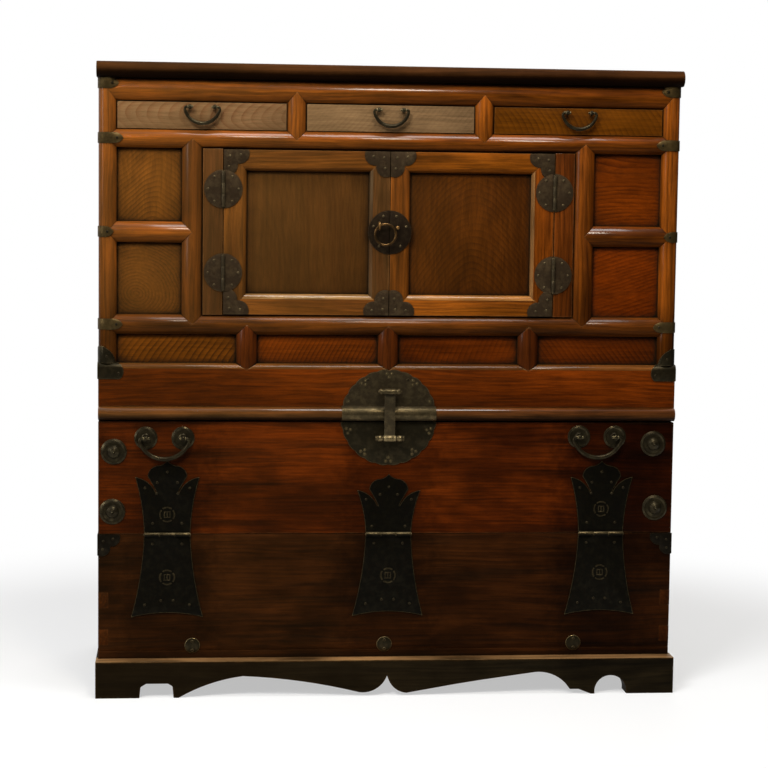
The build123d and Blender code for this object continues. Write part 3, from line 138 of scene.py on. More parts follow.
# %% [markdown]
# ## A helper for node trees
# A shader is a small drawing of boxes and wires. `Wiring` places a node, sets its options and
# connects its inputs in one call, so each recipe below reads from top to bottom.

# %% Wiring helper
class Wiring:
    def __init__(self, tree):
        self.tree = tree

    def node(self, kind, inputs=None, **options):
        made = self.tree.nodes.new("ShaderNode" + kind)
        for name, value in options.items():
            setattr(made, name, value)
        for name, value in (inputs or {}).items():
            self.feed(made.inputs[name], value)
        return made

    def feed(self, socket, value):
        if isinstance(value, bpy.types.NodeSocket):
            self.tree.links.new(value, socket)
        else:
            socket.default_value = value

    def math(self, operation, *values):
        return self.node("Math", dict(enumerate(values)), operation=operation).outputs[0]

    def times(self, first, second):
        return self.math("MULTIPLY", first, second)

    def vector(self, operation, *values):
        made = self.node("VectorMath", dict(enumerate(values)), operation=operation)
        return made.outputs["Value" if operation in ("LENGTH", "DOT_PRODUCT") else "Vector"]

    def mix(self, share, first, second, blend="MIX"):
        made = self.node("Mix", data_type="RGBA", blend_type=blend)
        for index, value in ((0, share), (6, first), (7, second)):
            self.feed(made.inputs[index], value)
        return made.outputs[2]

    def noise(self, point, detail=2.0, roughness=0.5, output=0):
        inputs = {"Vector": point, "Scale": 1.0, "Detail": detail, "Roughness": roughness}
        return self.node("TexNoise", inputs).outputs[output]

    def drawn_out(self, point, along, across, detail=2.0, roughness=0.5, output=0):
        """Noise with one scale along X and another across it."""
        scaled = self.vector("MULTIPLY", point, (along, across, across))
        return self.noise(scaled, detail, roughness, output)

    def shaded(self, colour, share):
        """The colour made darker or lighter by a number."""
        grey = self.node("CombineColor", {0: share, 1: share, 2: share}).outputs[0]
        return self.mix(1.0, colour, grey, "MULTIPLY")

    def ramp(self, value, low, high, to_low=0.0, to_high=1.0):
        inputs = {0: value, 1: low, 2: high, 3: to_low, 4: to_high}
        return self.node("MapRange", inputs, interpolation_type="SMOOTHSTEP").outputs[0]


def paint(red, green, blue):
    """A colour given as it looks on screen, from 0 to 255, turned into light."""
    def light(value):
        value = value / 255.0
        return value / 12.92 if value <= 0.04045 else ((value + 0.055) / 1.055) ** 2.4
    return (light(red), light(green), light(blue), 1.0)


def new_group(name, inputs, outputs):
    """An empty node group; inputs and outputs name their sockets, kind by kind."""
    group = bpy.data.node_groups.new(name, "ShaderNodeTree")
    for direction, kinds in (("INPUT", inputs), ("OUTPUT", outputs)):
        for kind, titles in kinds.items():
            for title in titles:
                group.interface.new_socket(title, in_out=direction,
                                           socket_type="NodeSocket" + kind)
    wiring = Wiring(group)
    entry = group.nodes.new("NodeGroupInput")
    leave = group.nodes.new("NodeGroupOutput")
    return wiring, entry.outputs, leave.inputs


print("wiring helper ready")

# %% [markdown]
# ## Sawn timber
# A tree is a stack of cones. A board is a flat cut through them, so its figure is the distance
# of each point from the heart of the tree: straight lines where the cut runs along the heart,
# arches where the trunk tapers, ovals where the heart leans out of the board. The group works on
# a point whose X runs along the grain. It bends the point a little, as real trunks bend, measures
# the distance to the heart and adds fibres, pores and dark streaks.

# %% Timber group
def build_timber_group():
    wiring, given, out = new_group(
        "sawn_timber",
        {"Vector": ["Point"], "Color": ["Early Wood", "Late Wood", "Streak"],
         "Float": ["Ring Width", "Ring Strength", "Streak Strength", "Waviness", "Taper",
                   "Cloud Strength", "Fibre Strength"]},
        {"Color": ["Color"], "Float": ["Height", "Gloss Change"]},
    )
    point = given["Point"]
    bend = wiring.drawn_out(point, 2.6, 9.0, 2.0, output=1)
    bend = wiring.vector("SUBTRACT", bend, (0.5, 0.5, 0.5))
    bend = wiring.vector("MULTIPLY", bend, (0.0, 0.034, 0.034))
    scaled = wiring.node("VectorMath", {0: bend, "Scale": given["Waviness"]}, operation="SCALE")
    ripple = wiring.drawn_out(point, 16.0, 60.0, 2.0, output=1)
    ripple = wiring.vector("SUBTRACT", ripple, (0.5, 0.5, 0.5))
    ripple = wiring.vector("MULTIPLY", ripple, (0.0, 0.0022, 0.0022))
    bent = wiring.vector("ADD", wiring.vector("ADD", point, scaled.outputs[0]), ripple)
    parts = wiring.node("SeparateXYZ", {0: bent})
    distance = wiring.vector("LENGTH", wiring.vector("MULTIPLY", bent, (0.0, 1.0, 1.0)))
    distance = wiring.math("MULTIPLY_ADD", parts.outputs[0], given["Taper"], distance)
    ring = wiring.math("FRACT", wiring.math("DIVIDE", distance, given["Ring Width"]))
    late = wiring.times(wiring.math("POWER", ring, 2.2), wiring.ramp(ring, 0.9, 1.0, 1.0, 0.0))
    patch = wiring.drawn_out(bent, 6.0, 30.0, 1.0)
    late = wiring.times(late, wiring.ramp(patch, 0.25, 0.65, 0.35, 1.2))
    fibre = wiring.drawn_out(bent, 22.0, 900.0, 3.0, 0.6)
    strand = wiring.drawn_out(bent, 7.0, 190.0, 3.0, 0.6)
    pore = wiring.ramp(wiring.drawn_out(bent, 160.0, 2300.0, 1.0), 0.60, 0.72)
    broad = wiring.drawn_out(bent, 3.4, 46.0, 3.0, 0.62)
    cloud = wiring.drawn_out(point, 6.0, 12.0, 3.0, 0.6)
    colour = wiring.mix(wiring.times(late, given["Ring Strength"]),
                        given["Early Wood"], given["Late Wood"])
    streak = wiring.times(wiring.ramp(broad, 0.46, 0.72), given["Streak Strength"])
    colour = wiring.mix(streak, colour, given["Streak"])
    lines = wiring.math("ADD", wiring.ramp(strand, 0.28, 0.72, -0.38, 0.38),
                        wiring.ramp(fibre, 0.3, 0.7, -0.16, 0.16))
    shade = wiring.math("MULTIPLY_ADD", lines, given["Fibre Strength"], 1.0)
    patchy = wiring.times(wiring.ramp(cloud, 0.32, 0.68, -1.0, 1.0), given["Cloud Strength"])
    shade = wiring.times(shade, wiring.math("ADD", patchy, 1.0))
    shade = wiring.times(shade, wiring.math("MULTIPLY_ADD", pore, -0.3, 1.0))
    wiring.feed(out["Color"], wiring.shaded(colour, shade))
    height = wiring.math("MULTIPLY_ADD", late, -0.35, wiring.times(fibre, 0.3))
    wiring.feed(out["Height"], wiring.math("MULTIPLY_ADD", pore, -0.4, height))
    wiring.feed(out["Gloss Change"], wiring.times(wiring.math("ADD", fibre, cloud), 0.5))
    return wiring.tree


timber_group = build_timber_group()
print("timber group:", len(timber_group.nodes), "nodes")

# %% [markdown]
# ## What hands and dust do, and painted shade and sheen
# Hands rub the finish thin on edges that stand out, and dust and old wax stay in the corners.
# On wood the paler edges are partly a painted sheen, and the darker corners partly a painted
# shade, where nearby parts keep the light away. The group looks a few millimetres around each
# point: inwards to find edges, outwards to find corners. Every material uses it with its own
# colours.

# %% Wear group
def build_wear_group():
    wiring, given, out = new_group(
        "edges_and_corners",
        {"Vector": ["Point"], "Float": ["Edge Reach", "Corner Reach", "Seed Scale"]},
        {"Float": ["Edge", "Corner", "Blotch"]},
    )
    inside = wiring.node("AmbientOcclusion", {"Distance": given["Edge Reach"]}, samples=6,
                         inside=True)
    outside = wiring.node("AmbientOcclusion", {"Distance": given["Corner Reach"]}, samples=6)
    scaled = wiring.node("VectorMath", {0: given["Point"], "Scale": given["Seed Scale"]},
                         operation="SCALE")
    blotch = wiring.noise(scaled.outputs[0], 4.0, 0.6)
    edge = wiring.math("SUBTRACT", 1.0, inside.outputs["AO"])
    edge = wiring.ramp(wiring.math("MULTIPLY_ADD", blotch, 0.5, edge), 0.42, 0.85)
    # Corner: how hemmed in a point is; it darkens soot on the irons, and dust and painted shade on
    # wood.
    corner = wiring.math("SUBTRACT", 1.0, outside.outputs["AO"])
    corner = wiring.ramp(wiring.math("MULTIPLY_ADD", blotch, 0.3, corner), 0.3, 0.85)
    wiring.feed(out["Edge"], edge)
    wiring.feed(out["Corner"], corner)
    wiring.feed(out["Blotch"], blotch)
    return wiring.tree


wear_group = build_wear_group()
print("wear group:", len(wear_group.nodes), "nodes")

# %% [markdown]
# ## Wood materials
# One recipe serves every wooden piece. It turns the object's own coordinates so that X runs
# along the grain, moves the heart of the tree to where the figure of that board needs it, and
# sends the timber through wear, dust, painted shade and wax. A greyer brown is mixed in towards
# the left end, with a slow change from left to right: a painted sheen that stands in for the veil
# of the lamps' reflection on that side. Boards cut from other parts of the tree only change these
# values.

# %% Wood recipe
ALONG_X = (0.0, 0.0, 0.0)
ALONG_Y = (0.0, 0.0, -90.0)
ALONG_Z = (0.0, 90.0, 0.0)
# Colour of the dust and painted shade in the corners of wooden parts.
GRIME = paint(30, 22, 13)
# Painted sheen: the greyer brown laid over the left ends of the wood.
FADED = paint(120, 89, 46)
WARM_SHINE = (1.0, 0.86, 0.66, 1.0)


def group_node(wiring, tree, inputs):
    node = wiring.tree.nodes.new("ShaderNodeGroup")
    node.node_tree = tree
    for name, value in inputs.items():
        wiring.feed(node.inputs[name], value)
    return node


def start_material(name):
    material = bpy.data.materials.new(name)
    material.use_nodes = True
    material.node_tree.nodes.clear()
    wiring = Wiring(material.node_tree)
    shader = wiring.node("BsdfPrincipled")
    output = wiring.node("OutputMaterial")
    material.node_tree.links.new(shader.outputs[0], output.inputs[0])
    point = wiring.node("TexCoord").outputs["Object"]
    return material, wiring, shader, point


def wood(name, grain, early, late, streak, edge, heart=(0, 0, 0), lean=(0, 0, 0), ring=5.0,
         ring_strength=0.6, streak_strength=0.45, waviness=1.0, taper=0.0, shift=1.0, gloss=0.36,
         edge_share=0.5, grime=0.6, wax=0.08, fade=0.2, dark_ends=0.0, shine=0.07, darken=None,
         cloud=0.22, irons=(), fibre=1.0, across=None, soot_reach=22.0, polish=0.2):
    """heart is a point in millimetres that the middle of the tree passes, lean turns the tree.
    darken holds a low and a high level in millimetres and what the low one keeps of the colour; it
    paints shade, darker towards the lower level, where less light falls.
    irons are the X of tall irons; the wood beside each is darker, a painted shade that is deepest
    close to the iron.
    across says how much of the colour is left at the left end and at the right end."""
    early, late, streak, edge = [paint(*colour) for colour in (early, late, streak, edge)]
    material, wiring, shader, point = start_material(name)
    centred = wiring.vector("SUBTRACT", point, [mm(v) for v in heart])
    leaning = wiring.node("Mapping", {"Vector": centred,
                                      "Rotation": [math.radians(v) for v in lean]})
    turned = wiring.node("Mapping", {"Vector": leaning.outputs[0],
                                     "Rotation": [math.radians(v) for v in grain]})
    island = wiring.node("NewGeometry").outputs["Random Per Island"]
    step = wiring.node("CombineXYZ", {"X": wiring.times(island, 9.0 * shift),
                                      "Y": wiring.times(island, 0.11 * shift),
                                      "Z": wiring.times(island, 0.07 * shift)})
    placed = wiring.vector("ADD", turned.outputs[0], step.outputs[0])
    timber = group_node(wiring, timber_group, {
        "Point": placed, "Early Wood": early, "Late Wood": late, "Streak": streak,
        "Ring Width": mm(ring), "Ring Strength": ring_strength,
        "Streak Strength": streak_strength, "Waviness": waviness, "Taper": taper,
        "Cloud Strength": cloud, "Fibre Strength": fibre})
    wear = group_node(wiring, wear_group, {
        "Point": point, "Edge Reach": mm(4), "Corner Reach": mm(soot_reach), "Seed Scale": 60.0})
    board = wiring.ramp(wiring.math("FRACT", wiring.times(island, 7.3)), 0.0, 1.0, 0.9, 1.1)
    colour = wiring.shaded(timber.outputs["Color"], board)
    places = wiring.node("SeparateXYZ", {0: point})
    drift = wiring.math("MULTIPLY_ADD", wear.outputs["Blotch"], 0.12, places.outputs[0])
    # Painted sheen towards the left end, standing in for the veil of the lamps' reflection there.
    faded = wiring.times(wiring.ramp(drift, 0.42, -0.36), fade)
    colour = wiring.mix(faded, colour, FADED)
    if dark_ends:
        end = wiring.ramp(wiring.math("ABSOLUTE", drift), 0.34, 0.55, 1.0, 1.0 - dark_ends)
        colour = wiring.shaded(colour, end)
    if across:
        colour = wiring.shaded(colour, wiring.ramp(drift, -0.4, 0.5, *across))
    # Painted shade beside each tall iron, darker close to it.
    for iron_x in irons:
        away = wiring.math("ABSOLUTE", wiring.math("SUBTRACT", drift, mm(iron_x) + 0.06))
        colour = wiring.shaded(colour, wiring.ramp(away, 0.045, 0.115, 0.55, 1.0))
    # Painted shade: the colour grows darker towards the lower level, where less light falls.
    if darken:
        low, high, left = darken
        level = wiring.math("MULTIPLY_ADD", wear.outputs["Blotch"], 0.004, places.outputs[2])
        colour = wiring.shaded(colour, wiring.ramp(level, mm(low), mm(high), left, 1.0))
    # Paler edges: rubbed wear, and partly a painted sheen along the arrises.
    rubbed = wiring.times(wear.outputs["Edge"], edge_share)
    colour = wiring.mix(rubbed, colour, edge)
    # Corners darkened with dust and with painted shade, where nearby parts keep the light away.
    dusty = wiring.times(wear.outputs["Corner"], grime)
    colour = wiring.mix(dusty, colour, GRIME)
    wiring.feed(shader.inputs["Base Color"], colour)
    rough = wiring.math("MULTIPLY_ADD", timber.outputs["Gloss Change"], 0.22, gloss - 0.1)
    wiring.feed(shader.inputs["Roughness"], wiring.math("MULTIPLY_ADD", dusty, 0.3, rough))
    planed = wiring.drawn_out(turned.outputs[0], 9.0, 45.0, 2.0)
    fine = wiring.node("Bump", {"Height": timber.outputs["Height"], "Strength": 0.55,
                                "Distance": mm(0.35)})
    broad = wiring.node("Bump", {"Height": planed, "Strength": 0.5, "Distance": mm(2.2),
                                 "Normal": fine.outputs[0]})
    wiring.feed(shader.inputs["Normal"], broad.outputs[0])
    shader.inputs["Specular IOR Level"].default_value = shine
    shader.inputs["Specular Tint"].default_value = WARM_SHINE
    facing = wiring.node("SeparateXYZ", {0: wiring.node("NewGeometry").outputs["Normal"]})
    waxed = wiring.ramp(facing.outputs[2], -0.05, 0.25, 0.0, wax)
    wiring.feed(shader.inputs["Coat Weight"], waxed)
    shader.inputs["Coat Roughness"].default_value = polish
    shader.inputs["Coat Tint"].default_value = WARM_SHINE
    return material


print("wood recipe ready")

# %% [markdown]
# ## The timbers of this chest
# The framing is a warm fruit wood, oiled and rubbed until it shines. The panels are quieter
# boards with arched figure. The lower chest is softwood, stained almost black-red, with dark
# streaks along the grain. Drawer insides and backs are dry, pale, unfinished boards.

# %% Timber palette
STRAP_X = (-398.5, 0.0, 390.0)         # middles of the three tall irons, in millimetres


def framing(name, grain, early=(124, 64, 12), late=(76, 33, 5), **changes):
    values = dict(streak=(56, 25, 5), edge=(146, 100, 54), ring=7.0, ring_strength=0.55,
                  streak_strength=0.55, gloss=0.34, wax=0.3, cloud=0.3, polish=0.15, grime=0.9)
    values.update(changes)
    return wood(name, grain, early, late, **values)


def panel(name, grain, early=(100, 48, 6), late=(52, 21, 3), **changes):
    values = dict(streak=(62, 29, 6), edge=(100, 64, 30), ring=5.0, ring_strength=0.85,
                  streak_strength=0.3, gloss=0.5, wax=0.02, shift=0.0, fade=0.18, shine=0.05,
                  fibre=0.55, grime=1.5, soot_reach=42.0)
    values.update(changes)
    return wood(name, grain, early, late, **values)


def stained(name, grain, early=(80, 27, 2), late=(40, 15, 3), **changes):
    values = dict(streak=(16, 8, 3), edge=(84, 48, 20), ring=6.0, ring_strength=0.5,
                  streak_strength=0.6, gloss=0.5, wax=0.02, waviness=0.7, grime=0.7, fade=0.03,
                  dark_ends=0.5, edge_share=0.4, shine=0.05, cloud=0.5, fibre=0.8, irons=STRAP_X)
    values.update(changes)
    return wood(name, grain, early, late, **values)


def dry(name, grain, early=(134, 98, 58), late=(98, 64, 34), **changes):
    values = dict(streak=(96, 66, 38), edge=(150, 116, 76), ring=5.0, ring_strength=0.5,
                  streak_strength=0.3, gloss=0.75, wax=0.0, grime=0.7, fade=0.0)
    values.update(changes)
    return wood(name, grain, early, late, **values)


TOP_FOOT, TOP_TOP = levels("top_board")
LEDGE_FOOT, LEDGE_TOP = levels("middle_board")
rail_wood = framing("rail_wood", ALONG_X, across=(1.08, 0.64), wax=0.6)
# The lower rail is a darker copy of the rail wood: painted shade, as less light reaches the lower
# row.
low_rail_wood = framing("low_rail_wood", ALONG_X, (86, 44, 8), (48, 21, 4), streak=(34, 16, 5),
                        streak_strength=0.7, fade=0.08)
# The corner posts grow darker towards the lower row: painted shade.
corner_post_wood = framing("corner_post_wood", ALONG_Z, darken=(640, 730, 0.35))
upright_wood = framing("upright_wood", ALONG_Z)
stile_wood = framing("stile_wood", ALONG_Z, (104, 53, 10), across=(0.85, 1.12))
side_rail_wood = framing("side_rail_wood", ALONG_Y)
# The top board grows darker towards its foot: painted shade on the lower half of its rounded front
# edge.
top_wood = framing("top_wood", ALONG_X, (62, 34, 12), (40, 19, 6), fade=0.04,
                   darken=(TOP_FOOT + 10, TOP_TOP - 6, 0.16), edge_share=0.15, wax=0.0,
                   shine=0.04, gloss=0.6, fibre=0.5, streak_strength=0.3)
post_wood = framing("post_wood", ALONG_Z, (88, 41, 7), (52, 23, 4))
left_post_wood = framing("left_post_wood", ALONG_Z, (62, 33, 12), (39, 20, 6))
# The low muntins are a darker copy as well: painted shade of the lower row.
low_muntin_wood = framing("low_muntin_wood", ALONG_Z, (74, 32, 6), (44, 18, 4), fade=0.02,
                          grime=1.7, soot_reach=40.0)
skirt_wood = framing("skirt_wood", ALONG_X, (88, 35, 2), (54, 21, 3), streak_strength=0.5, wax=0.03,
                     gloss=0.45, fade=0.04, shine=0.06, across=(0.85, 1.55))
# The rounded top of the skirt board takes a paler golden copy: a painted highlight where it faces
# the light from above.
skirt_edge_wood = framing("skirt_edge_wood", ALONG_X, (94, 56, 21), (68, 37, 12),
                          edge=(160, 136, 98), edge_share=0.6, wax=0.4, fade=0.1)
# The middle board grows darker towards its foot: painted shade on the lower half of its round nose.
ledge_wood = framing("ledge_wood", ALONG_X, (92, 54, 23), (57, 31, 12), polish=0.08,
                     streak=(28, 16, 8), darken=(LEDGE_FOOT + 4, LEDGE_TOP - 7, 0.18),
                     wax=1.0)
side_skirt_wood = framing("side_skirt_wood", ALONG_Y, (88, 35, 2), (54, 21, 3))
flap_wood = stained("flap_wood", ALONG_X, (84, 32, 3), (44, 18, 3), edge=(118, 82, 48),
                    edge_share=0.7, dark_ends=0.75)
board_wood = stained("board_wood", ALONG_X, (50, 23, 5), (28, 14, 5), streak=(12, 8, 4),
                     dark_ends=0.3, across=(0.9, 0.86))
lower_side_wood = stained("lower_side_wood", ALONG_Y, (54, 24, 5), dark_ends=0.0, irons=())
base_wood = stained("base_wood", ALONG_X, (20, 15, 7), (13, 10, 5), streak=(9, 7, 4),
                    edge=(104, 70, 34), edge_share=0.7, gloss=0.55, dark_ends=0.0, grime=0.3,
                    irons=(), across=(0.95, 1.9))
base_ledge_wood = stained("base_ledge_wood", ALONG_X, (128, 94, 58), (84, 60, 34),
                          streak=(30, 20, 10), edge=(170, 146, 104), edge_share=0.9, dark_ends=0.0,
                          grime=0.2, irons=(), cloud=0.6)
base_side_wood = stained("base_side_wood", ALONG_Y, (20, 15, 7), (13, 10, 5), streak=(9, 7, 4),
                         edge=(104, 70, 34), gloss=0.55, dark_ends=0.0, grime=0.3, irons=())
inner_wood = dry("inner_wood", ALONG_X)
inner_side_wood = dry("inner_side_wood", ALONG_Y)
back_wood = dry("back_wood", ALONG_X, (112, 78, 44), (80, 50, 26))
print("timbers:", len(bpy.data.materials))

# %% [markdown]
# ## Boards chosen for their figure
# A cabinetmaker shows the best figure on the panels. Each one here has its own place in the
# tree: upright arches in one, a knot's rings in the next, a slanting flame in the low row.

# %% Figured boards
cell_woods = [
    panel("arched_wood", ALONG_Z, (106, 59, 12), (50, 24, 4), heart=(-424, -160, 820),
          lean=(5, 0, 0), taper=0.6, ring=6.5, ring_strength=0.8, waviness=1.6),
    panel("eye_wood", ALONG_Z, (91, 50, 10), (46, 22, 4), heart=(-455, -190, 722), lean=(76, 6, 0),
          ring=5.6, ring_strength=0.8, waviness=0.9),
    panel("wavy_wood", ALONG_X, (110, 46, 3), (56, 20, 3), heart=(410, -120, 1020), lean=(0, 0, 10),
          ring=6.5, waviness=1.6, ring_strength=0.7, taper=0.12),
    panel("ripple_wood", ALONG_X, (116, 46, 2), (60, 20, 2), heart=(470, -150, 640),
          lean=(0, 0, 14), ring=6.5, taper=-0.15, waviness=1.4, ring_strength=0.65),
]
low_woods = [
    panel("flame_wood_1", ALONG_X, (114, 60, 8), (46, 22, 4), heart=(-330, -150, 560), taper=-1.2,
          ring=14.0, fade=0.05, ring_strength=0.9, waviness=0.8),
    panel("flame_wood_2", ALONG_X, (106, 45, 4), (46, 19, 3), heart=(-60, -150, 555), taper=-1.7,
          ring=14.0, fade=0.03, ring_strength=0.75, waviness=0.7),
    panel("flame_wood_3", ALONG_X, (98, 40, 3), (54, 22, 3), heart=(60, -150, 555), taper=-2.0,
          ring=19.0, fade=0.0, ring_strength=0.55, cloud=0.4),
    panel("flame_wood_4", ALONG_X, (98, 40, 3), (48, 18, 3), heart=(480, -150, 545), taper=1.3,
          ring=13.0, fade=0.0, ring_strength=0.75, waviness=1.2),
]
drawer_woods = [
    panel("drawer_wood_1", ALONG_X, (118, 89, 60), (95, 55, 34), heart=(-520, -170, 1040),
          lean=(0, 0, 3), taper=-0.45, ring=9.0, streak=(104, 73, 46), edge=(142, 112, 76),
          fade=0.25, grime=0.8, across=(1.0, 0.9)),
    panel("drawer_wood_2", ALONG_X, (138, 108, 74), (110, 79, 50), heart=(-60, -150, 960),
          taper=-0.9, ring=9.0, streak=(114, 86, 58), edge=(142, 112, 76), fade=0.2,
          ring_strength=0.5, grime=0.8, across=(1.25, 0.55)),
    panel("drawer_wood_3", ALONG_X, (97, 52, 5), (58, 27, 3), heart=(260, -150, 985), taper=1.1,
          ring=12.0, streak=(66, 32, 5), edge=(130, 90, 44), ring_strength=0.65, fade=0.0,
          grime=0.8),
]
door_woods = [
    panel("left_door_wood", ALONG_Z, (72, 41, 12), (52, 28, 9), across=(1.05, 0.85),
          heart=(-250, -120, 700), lean=(3, 0, 0), taper=0.1, ring=6.0, ring_strength=0.35,
          waviness=0.6),
    panel("right_door_wood", ALONG_Z, (76, 37, 5), (46, 20, 3), heart=(150, -150, 900),
          lean=(6, 0, 0), taper=0.65, ring=9.0, ring_strength=0.6),
]
# The last two woods of each door are paler copies for its lower and right inner bevels: a painted
# highlight where those bevels face the light, duller on the left door.
door_frame_woods = [
    [framing("left_hinge_stile_wood", ALONG_Z, (94, 52, 12), (58, 28, 6)),
     framing("left_door_rail_wood", ALONG_X, (100, 55, 14), (62, 29, 5), wax=0.5),
     framing("left_meeting_stile_wood", ALONG_Z, (68, 42, 18), (44, 26, 12)),
     framing("left_rubbed_wood", ALONG_X, (150, 118, 76), (104, 74, 42), wax=0.8),
     framing("left_dull_edge_wood", ALONG_Z, (78, 60, 40), (54, 38, 22), polish=0.08)],
    [framing("right_hinge_stile_wood", ALONG_Z, (124, 60, 9), (66, 28, 4)),
     framing("right_door_rail_wood", ALONG_X, (120, 63, 9), (68, 31, 5), wax=0.5),
     framing("right_meeting_stile_wood", ALONG_Z, (100, 52, 10), (58, 27, 5)),
     framing("right_rubbed_wood", ALONG_X, (140, 98, 52), (96, 60, 28), wax=0.8),
     framing("right_bright_edge_wood", ALONG_Z, (128, 90, 50), (84, 52, 26), wax=0.6)],
]
side_panel_wood = panel("side_panel_wood", ALONG_Z, shift=1.0, taper=0.2)
print("figured boards:", len(cell_woods + low_woods + drawer_woods + door_woods))

# %% [markdown]
# ## Forged iron and brass
# The fittings are sheet iron, blackened with oil and rubbed on the edges. Under the wax the
# metal is uneven: fire scale, fine pits and brown rust. The ring keeps its yellow only where
# fingers reach.

# %% Iron recipe
def build_patina_group():
    wiring, given, out = new_group(
        "forge_patina",
        {"Vector": ["Point"], "Color": ["Scale Colour", "Bare Colour", "Rust Colour"],
         "Float": ["Rust Share"]},
        {"Color": ["Color"], "Float": ["Height", "Roughness"]},
    )
    point = given["Point"]
    cloud = wiring.drawn_out(point, 75.0, 75.0, 4.0, 0.65)
    hammer = wiring.drawn_out(point, 110.0, 110.0, 1.0)
    pit = wiring.drawn_out(point, 900.0, 900.0, 2.0)
    rust = wiring.drawn_out(point, 190.0, 190.0, 3.0, 0.7)
    colour = wiring.mix(wiring.ramp(cloud, 0.42, 0.7), given["Scale Colour"], given["Bare Colour"])
    rust_share = wiring.times(wiring.ramp(rust, 0.5, 0.72), given["Rust Share"])
    wiring.feed(out["Color"], wiring.mix(rust_share, colour, given["Rust Colour"]))
    wiring.feed(out["Height"], wiring.math("MULTIPLY_ADD", pit, 0.35, hammer))
    wiring.feed(out["Roughness"], wiring.ramp(cloud, 0.3, 0.7, 0.56, 0.38))
    return wiring.tree


patina_group = build_patina_group()
SOOT = paint(10, 9, 6)


def metal(name, dark, bare, rust, edge, rust_share=0.4, edge_share=0.8, metallic=0.7, rough=0.0,
          edge_reach=1.2, dents=0.5):
    dark, bare, rust, edge = [paint(*colour) for colour in (dark, bare, rust, edge)]
    material, wiring, shader, point = start_material(name)
    patina = group_node(wiring, patina_group, {
        "Point": point, "Scale Colour": dark, "Bare Colour": bare, "Rust Colour": rust,
        "Rust Share": rust_share})
    wear = group_node(wiring, wear_group, {
        "Point": point, "Edge Reach": mm(edge_reach), "Corner Reach": mm(8), "Seed Scale": 160.0})
    rubbed = wiring.times(wear.outputs["Edge"], edge_share)
    colour = wiring.mix(rubbed, patina.outputs["Color"], edge)
    dusty = wiring.times(wear.outputs["Corner"], 0.6)
    colour = wiring.mix(dusty, colour, SOOT)
    wiring.feed(shader.inputs["Base Color"], colour)
    base_rough = wiring.math("ADD", patina.outputs["Roughness"], rough)
    wiring.feed(shader.inputs["Roughness"], wiring.math("MULTIPLY_ADD", rubbed, -0.1, base_rough))
    bump = wiring.node("Bump", {"Height": patina.outputs["Height"], "Strength": dents,
                                "Distance": mm(0.4)})
    wiring.feed(shader.inputs["Normal"], bump.outputs[0])
    shader.inputs["Metallic"].default_value = metallic
    shader.inputs["Specular IOR Level"].default_value = 0.15
    return material


black_iron = metal("black_iron", (17, 15, 9), (27, 24, 15), (28, 18, 9), (120, 104, 70),
                   edge_reach=1.7)
plate_iron = metal("plate_iron", (63, 53, 37), (90, 78, 54), (50, 34, 18), (170, 150, 104),
                   edge_reach=1.4, rough=-0.08)
low_plate_iron = metal("low_plate_iron", (41, 36, 23), (58, 50, 33), (38, 26, 13), (150, 130, 88),
                       edge_reach=1.4, rough=-0.08)
coin_iron = metal("coin_iron", (50, 43, 28), (74, 64, 42), (40, 28, 15), (92, 80, 54),
                  edge_reach=0.5)
hasp_iron = metal("hasp_iron", (58, 50, 35), (86, 75, 53), (54, 38, 22), (150, 132, 94), rough=-0.1,
                  metallic=0.4)
boss_iron = metal("boss_iron", (46, 40, 27), (72, 64, 44), (40, 28, 16), (160, 144, 104),
                  rough=-0.14, metallic=0.7, dents=0.15)
worn_iron = metal("worn_iron", (68, 54, 38), (94, 77, 54), (60, 40, 22), (116, 98, 66),
                  edge_reach=1.0)
ring_plate_iron = metal("ring_plate_iron", (42, 32, 22), (60, 48, 33), (46, 30, 16), (110, 92, 60),
                        edge_reach=1.0)
corner_iron = metal("corner_iron", (24, 20, 13), (36, 31, 21), (34, 22, 12), (96, 82, 54),
                    edge_reach=1.0)
grey_iron = metal("grey_iron", (74, 60, 34), (96, 78, 46), (64, 44, 20), (128, 108, 68))
bright_iron = metal("bright_iron", (74, 64, 43), (106, 91, 62), (56, 41, 23), (140, 122, 86),
                    rough=-0.12)
nail_iron = metal("nail_iron", (44, 38, 26), (62, 54, 36), (38, 27, 14), (92, 80, 54),
                  edge_reach=0.6)
disc_nail_iron = metal("disc_nail_iron", (84, 72, 50), (112, 97, 68), (66, 46, 26), (140, 122, 86),
                       edge_reach=0.6)
worn_brass = metal("worn_brass", (76, 56, 32), (150, 112, 66), (46, 31, 17), (220, 176, 112),
                   rough=-0.14, metallic=0.85)
ring_brass = metal("ring_brass", (120, 88, 48), (188, 144, 84), (70, 46, 24), (228, 190, 130),
                   rough=-0.1)
print("metals ready")

# %% [markdown]
# ## Eased edges
# No edge on old furniture is knife sharp. A copy of each board is made, its loose triangles are
# merged back into flat faces, and a Bevel rounds every edge by a millimetre or so. Members that
# meet in a joint are parted first, so each keeps its own edges and the joint shows as a fine
# groove. The copy rides on the same body and stands for the original, which stays hidden.

# %% Easing helpers
FRAME_EDGE = 0.9               # how far edges are rounded, in millimetres
BOARD_EDGE = 1.0
THICK_EDGE = 1.2
PANEL_EDGE = 0.4
SHEET_EDGE = 0.4
PLATE_EDGE = 0.5
SAME_POINT = 0.01              # points nearer than this are one
FLAT_TURN = 0.8                # degrees that faces of one plane may differ by
SHARP_TURN = 32.0              # degrees from which an edge is rounded
UNDER_SKIN = 0.4


def pick_only(*pieces):
    bpy.ops.object.select_all(action="DESELECT")
    for piece in pieces:
        piece.select_set(True)
    bpy.context.view_layer.objects.active = pieces[0]


def open_mesh():
    """Opens the active piece for editing, with all of it selected."""
    bpy.ops.object.mode_set(mode="EDIT")
    bpy.ops.mesh.select_all(action="SELECT")


def close_mesh():
    bpy.ops.object.mode_set(mode="OBJECT")


